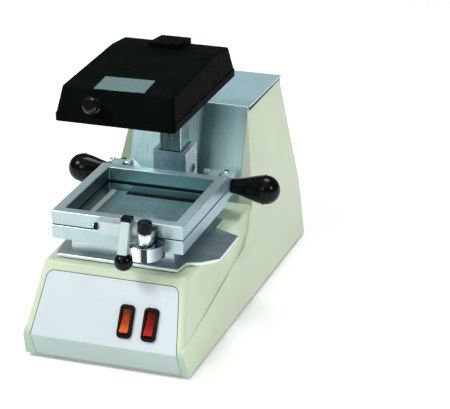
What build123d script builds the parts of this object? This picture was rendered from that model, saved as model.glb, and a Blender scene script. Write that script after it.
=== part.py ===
from build123d import *
import math
import os

os.makedirs("parts", exist_ok=True)

# ------------------------------------------------------------------ driving dimensions (mm)
# +X is to the operator's right, +Y to the rear, +Z up.  Heights are above the bench.
# Fore-and-aft figures below are measured from the middle of the forming frame, and YC moves
# them into the row frame, whose origin is under the middle of the whole machine.
YC = 89.326
FOOT = 4.0                     # rubber foot height, and the housing's lower edge
WALL = 3.0                     # housing wall
FOLD_Y, FOLD_Z = -115.0, 29.5  # fold line of the front panel
SLOPE_ANGLE = math.radians(60.81)      # front slope above the bench
SLOPE_Y, SLOPE_Z = math.cos(SLOPE_ANGLE), math.sin(SLOPE_ANGLE)
TOE_ANGLE = math.radians(69.57)        # toe, below the fold
TOE_Y, TOE_Z = math.cos(TOE_ANGLE), -math.sin(TOE_ANGLE)
DECK = 97.0                    # top of the nose, where the platen sits
PANEL_T = 1.2
COVER_T = 1.5
COVER_HALF = 64.0
FRAME_HALF, WINDOW_HALF = 70.0, 59.0
LF_LOW, LF_TOP = 118.0, 132.4
UF_LOW, UF_TOP = 133.7, 148.0
PLATEN_HALF_X, PLATEN_HALF_Y, PLATEN_TOP = 55.0, 56.0, 124.0
PLATE_LOW, PLATE_TOP = 98.4, 101.4
HINGE_Y, HINGE_Z = 80.0, 145.2
COL_Y, COL_HX, COL_HY, COL_TOP = 101.0, 12.0, 14.0, 242.0
LEVER_Y, LEVER_Z = -79.0, 144.0
GRIP_Y, GRIP_Z = 95.0, 128.5
ADJ_X, ADJ_Y = 37.0, -88.0
HOOD_LOW, HOOD_LIP = 244.0, 251.5
HOOD_HALF = 62.4
KNOB_X, KNOB_Z = -21.0, 262.0
SWITCH_X = (20.8, 46.3)
SWITCH_S = 27.0                # switch centre, up the slope from the fold
ROCKER_TILT = 7.0              # each way from the middle
MOTOR_Y = 205.0
INLET_Z = 44.0
REAR_Y0, REAR_K = 288.0, 0.0579   # rear wall: y = REAR_Y0 - REAR_K * (z - 4)


def flat(z, x=0.0, y=0.0):
    return Plane(origin=(x, y - YC, z), x_dir=(1, 0, 0), z_dir=(0, 0, 1))


def side(x):
    """Upright plane across X: sketch x runs to the rear, sketch y runs up."""
    return Plane(origin=(x, -YC, 0), x_dir=(0, 1, 0), z_dir=(1, 0, 0))


def front(y):
    """Upright plane facing forward: sketch x is X, sketch y is Z."""
    return Plane(origin=(0, y - YC, 0), x_dir=(1, 0, 0), z_dir=(0, -1, 0))


def rear_wall(x, z, out=0.0):
    """On the rear wall's outer face, facing backward."""
    y = REAR_Y0 - REAR_K * (z - 4)
    n = (0, math.cos(math.atan(REAR_K)), math.sin(math.atan(REAR_K)))
    return Plane(origin=(x, y - YC + out * n[1], z + out * n[2]), x_dir=(-1, 0, 0), z_dir=n)


SLOPE = Plane(origin=(0, FOLD_Y - YC, FOLD_Z), x_dir=(1, 0, 0), z_dir=(0, -SLOPE_Z, SLOPE_Y))
TOE = Plane(origin=(0, FOLD_Y - YC, FOLD_Z), x_dir=(1, 0, 0), z_dir=(0, TOE_Z, -TOE_Y))


def on_slope(x, s, n=0.0):
    """A plane parallel to the front slope, s up from the fold and n proud of its face."""
    return Plane(
        origin=(x, FOLD_Y - YC + s * SLOPE_Y - n * SLOPE_Z, FOLD_Z + s * SLOPE_Z + n * SLOPE_Y),
        x_dir=(1, 0, 0), z_dir=(0, -SLOPE_Z, SLOPE_Y))


def across_slope(x):
    """Plane across X with sketch x up the slope and sketch y out of it, from the fold line."""
    return Plane(origin=(x, FOLD_Y - YC, FOLD_Z), x_dir=(0, SLOPE_Y, SLOPE_Z), z_dir=(1, 0, 0))


def save(builder, name, label):
    builder.part.label = label
    export_step(builder.part, "parts/" + name + ".step")


# ------------------------------------------------------------------ housing
def tower_profile(top_cut=0.0, inset=0.0):
    """Side view of the wide part: skirt below the crease, and the tower."""
    with BuildSketch(side(-130)) as sk:
        with BuildLine():
            Polyline((113.4, 89.6), (122.96, 96.0), (157.0 - 0.3387 * top_cut, 196.5 - top_cut), (277.0, 194.0 - top_cut),
                     (288.0, 4.0), (288.8, -10.0), (-100.3, -10.0), (-105.5, 4.0),
                     (FOLD_Y, FOLD_Z), (-111.4, 36.0), (60.0, 61.5))
            ThreePointArc((60.0, 61.5), (92.0, 70.6), (113.4, 89.6))
        make_face()
        if inset:
            offset(amount=-inset, kind=Kind.INTERSECTION)
    return sk


def nose_profile(inset=0.0):
    """Side view of the nose, open downward."""
    with BuildSketch(side(-130)) as sk:
        with BuildLine():
            Polyline((-105.5, 4.0), (FOLD_Y, FOLD_Z), (FOLD_Y + SLOPE_Y * 77.32, DECK), (130.0, DECK),
                     (130.0, -10.0), (-100.3, -10.0), close=True)
        make_face()
        if inset:
            offset(amount=-inset, kind=Kind.INTERSECTION)
    return sk


def cross_section(y, low, knee, knee_z, high, high_z, inset=0.0):
    """Front view section: half widths at the bench, at the knee and at the top."""
    slope = (low - knee) / (knee_z - 4.0)
    with BuildSketch(front(y)) as sk:
        with BuildLine():
            Polyline((-low - 14 * slope, -10.0), (-knee, knee_z), (-high, high_z),
                     (high, high_z), (knee, knee_z), (low + 14 * slope, -10.0), close=True)
        make_face()
        if inset:
            offset(amount=-inset, kind=Kind.INTERSECTION)
    return sk


# the narrower nose that carries the platen deck
with BuildPart() as nose_block:
    add(cross_section(-118.0, 87.2, 84.5, 36.0, 75.5, 98.2).sketch)
    add(cross_section(131.0, 89.6, 85.2, 55.0, 77.9, 98.2).sketch)
    loft(ruled=True)
    add(nose_profile().sketch)
    extrude(amount=260, dir=(1, 0, 0), mode=Mode.INTERSECT)
    corners = nose_block.edges().filter_by(
        lambda e: e.center().Y + YC < -84 and abs(e.center().X) > 70 and abs(e.center().X) < 88
        and abs(e.tangent_at(0.5).Z) > 0.5 and e.center().Z > 0)
    fillet(corners, radius=5.5)
    deck_rim = nose_block.edges().filter_by(
        lambda e: abs(e.center().Z - DECK) < 0.2 and e.center().Y + YC < 125)
    fillet(deck_rim, radius=4.0)

# the wide skirt that widens backward and rises into the tower
with BuildPart() as tower_block:
    add(cross_section(-118.0, 87.5, 84.8, 36.0, 61.8, 196.5).sketch)
    add(cross_section(291.0, 94.5, 89.0, 68.0, 64.3, 196.5).sketch)
    loft(ruled=True)
    add(tower_profile(COVER_T).sketch)
    extrude(amount=260, dir=(1, 0, 0), mode=Mode.INTERSECT)
    rear_corners = tower_block.edges().filter_by(
        lambda e: e.center().Y + YC > 270 and e.length > 50 and abs(e.center().X) > 55)
    fillet(rear_corners, radius=8.0)

# hollow of both, one wall thickness inside
with BuildPart() as nose_hollow:
    add(cross_section(-118.0, 87.2, 84.5, 36.0, 75.5, 98.2, WALL).sketch)
    add(cross_section(131.0, 89.6, 85.2, 55.0, 77.9, 98.2, WALL).sketch)
    loft(ruled=True)
    add(nose_profile(WALL).sketch)
    extrude(amount=260, dir=(1, 0, 0), mode=Mode.INTERSECT)
with BuildPart() as tower_hollow:
    add(cross_section(-118.0, 87.5, 84.8, 36.0, 61.8, 196.5, WALL).sketch)
    add(cross_section(291.0, 94.5, 89.0, 68.0, 64.3, 196.5, WALL).sketch)
    loft(ruled=True)
    add(tower_profile(COVER_T, WALL).sketch)
    extrude(amount=260, dir=(1, 0, 0), mode=Mode.INTERSECT)


def panel_sketch(plane, base, tip, length, grow, radius, tip_right=None):
    """Trapezium of the bent front panel on one of its two planes, from the fold line."""
    right = tip if tip_right is None else tip_right
    with BuildSketch(plane) as sk:
        with BuildLine():
            Polyline((-base - grow, 0), (base + grow, 0), (right + grow, length), (-tip - grow, length), close=True)
        make_face()
        corners = sk.vertices().sort_by(Axis.Y)
        if length > 0:
            fillet(corners[-2:], radius=radius)
        else:
            fillet(corners[:2], radius=radius)
    return sk


with BuildPart() as panel_recess:
    add(panel_sketch(SLOPE, 77.6, 69.3, 67.5 + 0.6, 0.5, 8.5).sketch)
    extrude(amount=1.5, dir=(0, SLOPE_Z, -SLOPE_Y))
    add(panel_sketch(SLOPE, 77.6, 69.3, 67.5 + 0.6, 0.5, 8.5).sketch)
    extrude(amount=2.0, dir=(0, -SLOPE_Z, SLOPE_Y))
    add(panel_sketch(TOE, 77.6, 75.3, -(25.8 + 0.6), 0.5, 1.6, 79.6).sketch)
    extrude(amount=1.5, dir=(0, -TOE_Z, TOE_Y))
    add(panel_sketch(TOE, 77.6, 75.3, -(25.8 + 0.6), 0.5, 1.6, 79.6).sketch)
    extrude(amount=2.0, dir=(0, TOE_Z, -TOE_Y))

with BuildPart() as cover_recess:
    # the cover's sheet, slightly wider than the sheet on the tower's front, and the whole roof
    with BuildSketch(side(-COVER_HALF - 0.3)):
        with BuildLine():
            Polyline((123.3 - 12, 97.0), (157.0 - 12, 196.5), (158.66, 196.5), (124.96, 97.0), close=True)
        make_face()
    extrude(amount=2 * COVER_HALF + 0.6)

with BuildPart() as housing_shell:
    add(tower_block.part)
    add(nose_block.part)
    add(tower_hollow.part, mode=Mode.SUBTRACT)
    add(nose_hollow.part, mode=Mode.SUBTRACT)
    with BuildSketch(flat(-20.0)):
        Rectangle(400, 900)
    extrude(amount=20.0 + FOOT, mode=Mode.SUBTRACT)
    add(panel_recess.part, mode=Mode.SUBTRACT)
    add(cover_recess.part, mode=Mode.SUBTRACT)
    # switch cut-outs in the slope
    for sx in SWITCH_X:
        with BuildSketch(on_slope(sx, SWITCH_S)):
            Rectangle(14.0, 30.0)
        extrude(amount=-8.0, mode=Mode.SUBTRACT)
    # column slot and vacuum port in the deck
    with BuildSketch(flat(DECK - 8)):
        with Locations((0, COL_Y)):
            RectangleRounded(2 * COL_HX + 3, 2 * COL_HY + 3, 2)
        Circle(15.0)
    extrude(amount=12, mode=Mode.SUBTRACT)
    # rear wall: power inlet, fuse, exhaust louvres
    with BuildSketch(rear_wall(-45, INLET_Z)):
        Rectangle(28.4, 20.4)
        with Locations((-42, 0)):
            Circle(6.3)
    extrude(amount=-8, mode=Mode.SUBTRACT)
    with BuildSketch(rear_wall(28, 100)):
        with GridLocations(0, 8.0, 1, 9):
            SlotOverall(64, 3.0)
    extrude(amount=-8, mode=Mode.SUBTRACT)
    # screw blocks for the base plate and for the cover's rear flange
    with BuildSketch(flat(6.4)):
        with Locations((-65, -99), (65, -99)):
            Rectangle(11, 9.5)
        with Locations((-60, 279), (60, 279)):
            Rectangle(12, 11.5)
    extrude(amount=20.0)
    with Locations((-65, -98 - YC, 6.3), (65, -98 - YC, 6.3), (-60, 277 - YC, 6.3), (60, 277 - YC, 6.3)):
        Cylinder(radius=2.05, height=18.0, align=(Align.CENTER, Align.CENTER, Align.MIN), mode=Mode.SUBTRACT)
save(housing_shell, "housing_shell", "housing_shell")

# ------------------------------------------------------------------ front panel
with BuildPart() as panel_outline:
    add(panel_sketch(SLOPE, 77.6, 69.3, 67.5, 0.0, 8.0).sketch)
    extrude(amount=3.0, dir=(0, SLOPE_Z, -SLOPE_Y))
    add(panel_sketch(TOE, 77.6, 75.3, -25.8, 0.0, 1.2, 79.6).sketch)
    extrude(amount=3.0, dir=(0, -TOE_Z, TOE_Y))

with BuildPart() as front_panel:
    # one sheet bent along the fold line, then cut to the outline
    with BuildSketch(side(-80.0)) as bent:
        with BuildLine():
            Polyline((FOLD_Y + 25.8 * TOE_Y, FOLD_Z + 25.8 * TOE_Z), (FOLD_Y, FOLD_Z),
                     (FOLD_Y + 67.5 * SLOPE_Y, FOLD_Z + 67.5 * SLOPE_Z),
                     (FOLD_Y + 67.5 * SLOPE_Y + PANEL_T * SLOPE_Z, FOLD_Z + 67.5 * SLOPE_Z - PANEL_T * SLOPE_Y),
                     (FOLD_Y + 1.322, FOLD_Z - 0.083),
                     (FOLD_Y + 25.8 * TOE_Y - PANEL_T * TOE_Z, FOLD_Z + 25.8 * TOE_Z + PANEL_T * TOE_Y), close=True)
        make_face()
        fillet(bent.vertices().sort_by_distance((FOLD_Y, FOLD_Z, 0))[:1], radius=2.0)
    extrude(amount=160.0)
    add(panel_outline.part, mode=Mode.INTERSECT)
    for sx in SWITCH_X:
        with BuildSketch(on_slope(sx, SWITCH_S, 1.0)):
            Rectangle(13.4, 29.4)
        extrude(amount=-4.0, mode=Mode.SUBTRACT)
save(front_panel, "front_panel", "front_panel")

# ------------------------------------------------------------------ stainless tower cover
with BuildPart() as tower_cover:
    # front sheet, lying in its recess so that its face is flush with the painted cheeks
    with BuildSketch(side(-COVER_HALF)):
        with BuildLine():
            Polyline((123.3, DECK + 0.02), (124.88, DECK + 0.02), (158.06, 195.0), (277.05, 192.52),
                     (278.02, 176.0), (279.52, 175.95), (278.55, 194.03), (157.0, 196.5), close=True)
        make_face()
    extrude(amount=2 * COVER_HALF)
    bend = tower_cover.edges().filter_by(Axis.X).filter_by(
        lambda e: abs(e.center().Z - 196.5) < 0.2 and e.center().Y + YC < 160)
    fillet(bend, radius=2.2)
    bend2 = tower_cover.edges().filter_by(Axis.X).filter_by(
        lambda e: abs(e.center().Z - 194.03) < 0.2 and e.center().Y + YC > 278)
    fillet(bend2, radius=2.2)
    # the roof sheet runs a little past the painted cheeks on both sides
    with BuildSketch(side(-65.6)):
        with BuildLine():
            Polyline((158.6, 195.03), (158.6, 196.44), (276.6, 194.06), (276.6, 192.57), close=True)
        make_face()
    extrude(amount=131.2)
    with BuildSketch(rear_wall(0, 184.5, 2.2)):
        with GridLocations(48, 0, 3, 1):
            Circle(2.2)
    extrude(amount=-3.4, mode=Mode.SUBTRACT)
save(tower_cover, "tower_cover", "tower_cover")

# ------------------------------------------------------------------ base plate, feet, screws
with BuildPart() as base_plate:
    with BuildSketch(flat(FOOT)) as base_outline:
        with BuildLine():
            Polyline((-83.6, -101.6), (83.6, -101.6), (90.6, 284.2), (-90.6, 284.2), close=True)
        make_face()
        fillet(base_outline.vertices(), radius=6.0)
        with Locations((-65, -98), (65, -98), (-60, 277), (60, 277)):
            Circle(2.4, mode=Mode.SUBTRACT)
        with Locations((0, 38), (0, 205)):
            with GridLocations(0, 9.0, 1, 7):
                SlotOverall(70, 3.2, mode=Mode.SUBTRACT)
        with Locations((-22, 80), (22, 80), (-22, 122), (22, 122), (-50, 152), (50, 152), (-50, 258), (50, 258)):
            Circle(2.7, mode=Mode.SUBTRACT)
    extrude(amount=2.0)
save(base_plate, "base_plate", "base_plate")

with BuildPart() as rubber_feet:
    for fx, fy in ((-70, -80), (70, -80), (-76, 252), (76, 252)):
        with BuildSketch(flat(0.0)):
            with Locations((fx, fy)):
                Circle(10.0)
        extrude(amount=FOOT, taper=-8)
        with BuildSketch(flat(0.0)):
            with Locations((fx, fy)):
                Circle(3.6)
        extrude(amount=2.0, mode=Mode.SUBTRACT)
save(rubber_feet, "rubber_feet", "rubber_feet")

with BuildPart() as base_screws:
    for fx, fy in ((-65, -98), (65, -98), (-60, 277), (60, 277)):
        with BuildSketch(flat(1.9)):
            with Locations((fx, fy)):
                Circle(3.8)
        extrude(amount=FOOT - 1.9)
        with BuildSketch(flat(FOOT)):
            with Locations((fx, fy)):
                Circle(2.0)
        extrude(amount=16.0)
        with BuildSketch(flat(1.9)):
            with Locations((fx, fy)):
                Rectangle(4.6, 0.9)
                Rectangle(0.9, 4.6)
        extrude(amount=0.9, mode=Mode.SUBTRACT)
save(base_screws, "base_screws", "base_screws")

# ------------------------------------------------------------------ switches
with BuildPart() as switch_bezels:
    for sx in SWITCH_X:
        with BuildSketch(on_slope(sx, SWITCH_S)):
            RectangleRounded(15.4, 34.0, 4.6)
        extrude(amount=3.2)
        with BuildSketch(on_slope(sx, SWITCH_S, -20.0)):
            Rectangle(13.2, 29.2)
        extrude(amount=20.5)
        with BuildSketch(on_slope(sx, SWITCH_S, -12.0)):
            RectangleRounded(9.9, 26.4, 1.2)
        extrude(amount=20.0, mode=Mode.SUBTRACT)
        rim = switch_bezels.edges().filter_by(
            lambda e: abs((e.center().Y + YC - FOLD_Y) * -SLOPE_Z + (e.center().Z - FOLD_Z) * SLOPE_Y - 3.2) < 0.01
            and abs(e.center().X - sx) < 8)
        outer = rim.filter_by(lambda e: abs(e.center().X - sx) > 5.5 or abs(
            (e.center().Y + YC - FOLD_Y) * SLOPE_Y + (e.center().Z - FOLD_Z) * SLOPE_Z - SWITCH_S) > 14)
        fillet(outer, radius=1.3)
        with BuildSketch(across_slope(sx - 8)):
            with Locations((SWITCH_S, -3.0)):
                Circle(1.3)
        extrude(amount=16.0, mode=Mode.SUBTRACT)
save(switch_bezels, "switch_bezels", "switch_bezels")


def rocker(sx):
    """One rocker: a lens with two gently dished halves on a round-bottomed carrier, tipped to its rest tilt."""
    with BuildPart() as built:
        with BuildSketch(across_slope(sx - 4.4)):
            with BuildLine():
                Polyline((SWITCH_S - 12.0, 3.4), (SWITCH_S - 12.4, -3.0), (SWITCH_S - 7.0, -9.0), (SWITCH_S + 7.0, -9.0),
                         (SWITCH_S + 12.4, -3.0), (SWITCH_S + 12.0, 3.4))
                Spline((SWITCH_S + 12.0, 3.4), (SWITCH_S + 5.5, 2.35), (SWITCH_S, 2.0), (SWITCH_S - 5.5, 2.35),
                       (SWITCH_S - 12.0, 3.4))
            make_face()
        extrude(amount=8.8)
        lens_edges = built.edges().filter_by(
            lambda e: (e.center().Y + YC - FOLD_Y) * -SLOPE_Z + (e.center().Z - FOLD_Z) * SLOPE_Y > 1.9)
        fillet(lens_edges, radius=0.5)
        with BuildSketch(across_slope(sx - 6.2)):
            with Locations((SWITCH_S, -3.0)):
                Circle(1.25)
        extrude(amount=12.4)
    pivot = Axis((sx, FOLD_Y - YC + SWITCH_S * SLOPE_Y + 3.0 * SLOPE_Z,
                  FOLD_Z + SWITCH_S * SLOPE_Z - 3.0 * SLOPE_Y), (1, 0, 0))
    return built.part.rotate(pivot, -ROCKER_TILT)


with BuildPart() as rocker_left:
    add(rocker(SWITCH_X[0]))
save(rocker_left, "rocker_left", "rocker_left")
with BuildPart() as rocker_right:
    add(rocker(SWITCH_X[1]))
save(rocker_right, "rocker_right", "rocker_right")

with BuildPart() as switch_terminals:
    for sx in SWITCH_X:
        with BuildSketch(on_slope(sx, SWITCH_S, -20.0)):
            with GridLocations(0, 8.5, 1, 3):
                Rectangle(4.8, 0.8)
        extrude(amount=-8.0)
save(switch_terminals, "switch_terminals", "switch_terminals")

# ------------------------------------------------------------------ vacuum blower inside the tower
with BuildPart() as motor_bracket:
    with BuildSketch(flat(20.0)) as bracket_outline:
        with Locations((0, MOTOR_Y)):
            RectangleRounded(116, 120, 6)
            Circle(30, mode=Mode.SUBTRACT)
        with Locations((-50, 152), (50, 152), (-50, 258), (50, 258)):
            Circle(2.3, mode=Mode.SUBTRACT)
    extrude(amount=2.0)
save(motor_bracket, "motor_bracket", "motor_bracket")

with BuildPart() as isolator_bushings:
    with BuildSketch(flat(6.0)):
        with Locations((-50, 152), (50, 152), (-50, 258), (50, 258)):
            Circle(7.0)
            Circle(2.4, mode=Mode.SUBTRACT)
    extrude(amount=14.0)
save(isolator_bushings, "isolator_bushings", "isolator_bushings")

with BuildPart() as floor_bolts:
    # four through the isolators, four through the column foot
    for bx, by in ((-50, 152), (50, 152), (-50, 258), (50, 258)):
        with BuildSketch(flat(4.6)):
            with Locations((bx, by)):
                Circle(2.0)
        extrude(amount=19.0)
        with BuildSketch(flat(22.0)):
            with Locations((bx, by)):
                RegularPolygon(3.9, 6)
        extrude(amount=3.2)
    for bx, by in ((-22, 80), (22, 80), (-22, 122), (22, 122)):
        with BuildSketch(flat(4.4)):
            with Locations((bx, by)):
                Circle(2.5)
        extrude(amount=8.0)
        with BuildSketch(flat(12.0)):
            with Locations((bx, by)):
                RegularPolygon(4.6, 6)
        extrude(amount=3.6)
save(floor_bolts, "floor_bolts", "floor_bolts")

with BuildPart() as blower_housing:
    with BuildSketch(flat(22.0)):
        with Locations((0, MOTOR_Y)):
            Circle(60.0)
    extrude(amount=46.0)
    fillet(blower_housing.edges().filter_by(GeomType.CIRCLE), radius=4.0)
    with BuildSketch(front(146.0)):
        with Locations((45.0, 45.0)):
            Circle(15.5)
    extrude(amount=-26.0)
    with BuildSketch(flat(24.0)):
        with Locations((0, MOTOR_Y)):
            Circle(57.5)
    extrude(amount=42.0, mode=Mode.SUBTRACT)
    with BuildSketch(front(145.0)):
        with Locations((45.0, 45.0)):
            Circle(13.1)
    extrude(amount=-40.0, mode=Mode.SUBTRACT)
    with BuildSketch(flat(60.0)):
        with Locations((0, MOTOR_Y)):
            Circle(6.0)
    extrude(amount=20.0, mode=Mode.SUBTRACT)
save(blower_housing, "blower_housing", "blower_housing")

with BuildPart() as motor_body:
    with BuildSketch(flat(68.0)):
        with Locations((0, MOTOR_Y)):
            Circle(42.0)
            Circle(4.06, mode=Mode.SUBTRACT)
    extrude(amount=78.0)
    with BuildSketch(flat(146.0)):
        with Locations((0, MOTOR_Y)):
            Circle(42.0)
    extrude(amount=4.0)
    fillet(motor_body.edges().filter_by(GeomType.CIRCLE).sort_by(Axis.Z)[-1:], radius=3.5)
    with BuildSketch(flat(84.0)):
        with Locations((0, MOTOR_Y)):
            with PolarLocations(42.5, 20):
                Rectangle(5, 3)
    extrude(amount=46.0, mode=Mode.SUBTRACT)
save(motor_body, "motor_body", "motor_body")

with BuildPart() as motor_shaft:
    with BuildSketch(flat(28.0)):
        with Locations((0, MOTOR_Y)):
            Circle(4.0)
    extrude(amount=117.0)
save(motor_shaft, "motor_shaft", "motor_shaft")

with BuildPart() as impeller:
    with BuildSketch(flat(31.0)):
        with Locations((0, MOTOR_Y)):
            Circle(54.0)
    extrude(amount=2.0)
    with BuildSketch(flat(31.0)):
        with Locations((0, MOTOR_Y)):
            Circle(10.0)
    extrude(amount=26.0)
    for i in range(9):
        a0 = math.radians(40.0 * i)
        pts = []
        for r, da in ((9.0, 0.0), (24.0, 0.22), (39.0, 0.55), (53.0, 1.0)):
            pts.append((r * math.cos(a0 + da), MOTOR_Y + r * math.sin(a0 + da)))
        with BuildSketch(flat(32.0)):
            with BuildLine() as blade_line:
                Spline(*pts)
            trace(line_width=1.6)
        extrude(amount=18.0)
    with BuildSketch(flat(25.0)):
        with Locations((0, MOTOR_Y)):
            Circle(4.02)
    extrude(amount=40.0, mode=Mode.SUBTRACT)
save(impeller, "impeller", "impeller")

with BuildPart() as vacuum_duct:
    with BuildLine() as duct_line:
        FilletPolyline((0, -YC, 93.9), (0, -YC, 45.0), (45.0, 45.0 - YC, 45.0), (45.0, 154.0 - YC, 45.0), radius=24.0)
    with BuildSketch(Plane(origin=(0, -YC, 93.9), x_dir=(1, 0, 0), z_dir=(0, 0, -1))):
        Circle(13.0)
        Circle(11.0, mode=Mode.SUBTRACT)
    sweep(path=duct_line.line)
    with BuildSketch(flat(91.4)):
        Circle(21.0)
        Circle(11.5, mode=Mode.SUBTRACT)
    extrude(amount=2.5)
save(vacuum_duct, "vacuum_duct", "vacuum_duct")

# ------------------------------------------------------------------ power inlet and fuse on the rear wall
with BuildPart() as power_inlet:
    with BuildSketch(rear_wall(-45, INLET_Z)) as inlet_flange:
        RectangleRounded(49.0, 26.0, 5.0)
        with GridLocations(40, 0, 2, 1):
            Circle(1.9, mode=Mode.SUBTRACT)
    extrude(amount=2.4)
    with BuildSketch(rear_wall(-45, INLET_Z, -20.0)):
        Rectangle(28.0, 20.0)
    extrude(amount=20.5)
    with BuildSketch(rear_wall(-45, INLET_Z, -14.5)) as inlet_mouth:
        Rectangle(24.6, 16.8)
        chamfer(inlet_mouth.vertices().group_by(Axis.Y)[-1], 3.0)
    extrude(amount=20.0, mode=Mode.SUBTRACT)
save(power_inlet, "power_inlet", "power_inlet")

with BuildPart() as inlet_pins:
    with BuildSketch(rear_wall(-45, INLET_Z, -14.5)):
        with Locations((-7.0, -1.0), (7.0, -1.0), (0.0, 2.4)):
            Rectangle(2.0, 4.0)
    extrude(amount=14.0)
save(inlet_pins, "inlet_pins", "inlet_pins")

with BuildPart() as rear_screws:
    # two through the inlet's flange, three through the cover's rear flange
    for rx, rz, seat, depth in ((-65, INLET_Z, 2.42, 2.3), (-25, INLET_Z, 2.42, 2.3), (-48, 184.5, 1.72, 1.5),
                                (0, 184.5, 1.72, 1.5), (48, 184.5, 1.72, 1.5)):
        with BuildSketch(rear_wall(rx, rz, seat - depth)):
            Circle(1.7)
        extrude(amount=depth + 0.5)
        with BuildSketch(rear_wall(rx, rz, seat)):
            Circle(3.2)
        extrude(amount=1.6)
        with BuildSketch(rear_wall(rx, rz, seat + 1.6)):
            Rectangle(4.0, 0.8)
            Rectangle(0.8, 4.0)
        extrude(amount=-0.8, mode=Mode.SUBTRACT)
save(rear_screws, "rear_screws", "rear_screws")

with BuildPart() as fuse_holder:
    with BuildSketch(rear_wall(-3, INLET_Z)):
        Circle(9.0)
    extrude(amount=2.0)
    with BuildSketch(rear_wall(-3, INLET_Z, -17.0)):
        Circle(6.1)
    extrude(amount=17.5)
    with BuildSketch(rear_wall(-3, INLET_Z, 1.8)):
        Circle(6.6)
        with PolarLocations(6.9, 12):
            Circle(0.7, mode=Mode.SUBTRACT)
    extrude(amount=5.8)
    with BuildSketch(rear_wall(-3, INLET_Z, 7.6)):
        Rectangle(9.0, 1.4)
    extrude(amount=-1.6, mode=Mode.SUBTRACT)
save(fuse_holder, "fuse_holder", "fuse_holder")

# ------------------------------------------------------------------ column
with BuildPart() as column:
    with BuildSketch(flat(8.0)):
        with Locations((0, COL_Y)):
            RectangleRounded(2 * COL_HX, 2 * COL_HY, 1.6)
            RectangleRounded(2 * COL_HX - 6, 2 * COL_HY - 6, 1.0, mode=Mode.SUBTRACT)
    extrude(amount=COL_TOP - 8.0)
save(column, "column", "column")

with BuildPart() as column_foot:
    with BuildSketch(flat(6.0)):
        with Locations((0, COL_Y)):
            RectangleRounded(58, 60, 5)
    extrude(amount=6.0)
    with BuildSketch(flat(12.0)):
        with Locations((0, COL_Y)):
            RectangleRounded(34, 30 + 6, 4)
    extrude(amount=18.0)
    with BuildSketch(flat(8.0)):
        with Locations((0, COL_Y)):
            RectangleRounded(2 * COL_HX + 0.04, 2 * COL_HY + 0.04, 1.6)
    extrude(amount=30.0, mode=Mode.SUBTRACT)
    with BuildSketch(flat(0.0)):
        with Locations((-22, 80), (22, 80), (-22, 122), (22, 122)):
            Circle(2.6)
    extrude(amount=14.0, mode=Mode.SUBTRACT)
save(column_foot, "column_foot", "column_foot")

with BuildPart() as swivel_spigot:
    with BuildSketch(flat(COL_TOP)):
        with Locations((0, COL_Y)):
            RectangleRounded(2 * COL_HX, 2 * COL_HY, 1.6)
    extrude(amount=1.6)
    with BuildSketch(flat(COL_TOP - 16)):
        with Locations((0, COL_Y)):
            RectangleRounded(2 * COL_HX - 6.04, 2 * COL_HY - 6.04, 1.0)
    extrude(amount=16.5)
    with BuildSketch(flat(COL_TOP + 1.0)):
        with Locations((0, COL_Y)):
            Circle(12.0)
    extrude(amount=8.5)
    with BuildSketch(flat(COL_TOP + 9.0)):
        with Locations((0, COL_Y)):
            Circle(9.5)
    extrude(amount=6.6)
    with BuildSketch(flat(COL_TOP + 15.0)):
        with Locations((0, COL_Y)):
            Circle(5.0)
    extrude(amount=11.0)
    chamfer(swivel_spigot.edges().filter_by(GeomType.CIRCLE).sort_by(Axis.Z)[-1:], 0.8)
save(swivel_spigot, "swivel_spigot", "swivel_spigot")

# ------------------------------------------------------------------ platen and its seal
with BuildPart() as port_gasket:
    with BuildSketch(flat(DECK)):
        RectangleRounded(124, 136, 4)
        RectangleRounded(104, 112, 3, mode=Mode.SUBTRACT)
    extrude(amount=1.1)
save(port_gasket, "port_gasket", "port_gasket")

WING = ((-66.0, -69.5), (63.5, -69.5), (66.5, -51.0), (80.0, -46.0), (95.0, -31.0), (95.0, 29.5),
        (66.5, 43.0), (66.5, 69.5), (-66.5, 69.5), (-69.0, 43.0), (-86.0, 29.5), (-86.0, -14.0),
        (-71.5, -30.0), (-69.5, -51.0))
with BuildPart() as winged_plate:
    with BuildSketch(flat(PLATE_LOW)) as wing_outline:
        with BuildLine():
            Polyline(*WING, close=True)
        make_face()
        fillet(wing_outline.vertices(), radius=3.0)
        Circle(15.0, mode=Mode.SUBTRACT)
        with GridLocations(96, 98, 2, 2):
            Circle(2.3, mode=Mode.SUBTRACT)
    extrude(amount=PLATE_TOP - PLATE_LOW)
    rims = winged_plate.edges().filter_by(lambda e: abs(e.center().Z - PLATE_TOP) < 0.01 and (
        abs(e.center().X) > 60 or abs(e.center().Y + YC) > 60))
    chamfer(rims, 0.4)
save(winged_plate, "winged_plate", "winged_plate")

with BuildPart() as platen_block:
    with BuildSketch(flat(PLATE_TOP)):
        RectangleRounded(2 * PLATEN_HALF_X, 2 * PLATEN_HALF_Y, 2.0)
    extrude(amount=PLATEN_TOP - PLATE_TOP)
    chamfer(platen_block.edges().filter_by(lambda e: abs(e.center().Z - PLATEN_TOP) < 0.01), 0.6)
    with BuildSketch(flat(PLATE_TOP)):
        Rectangle(2 * PLATEN_HALF_X - 16, 2 * PLATEN_HALF_Y - 22)
    extrude(amount=PLATEN_TOP - PLATE_TOP - 3.0, mode=Mode.SUBTRACT)
    with BuildSketch(flat(PLATEN_TOP - 4)):
        with GridLocations(9.6, 9.6, 9, 9):
            Circle(0.9)
    extrude(amount=6, mode=Mode.SUBTRACT)
    with BuildSketch(flat(PLATE_TOP)):
        with GridLocations(96, 98, 2, 2):
            Circle(2.05)
    extrude(amount=9.0, mode=Mode.SUBTRACT)
save(platen_block, "platen_block", "platen_block")

with BuildPart() as platen_screws:
    for px, py in ((-48, -49), (48, -49), (-48, 49), (48, 49)):
        with BuildSketch(flat(PLATE_LOW + 0.5)):
            with Locations((px, py)):
                Circle(2.0)
        extrude(amount=10.0)
save(platen_screws, "platen_screws", "platen_screws")

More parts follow.
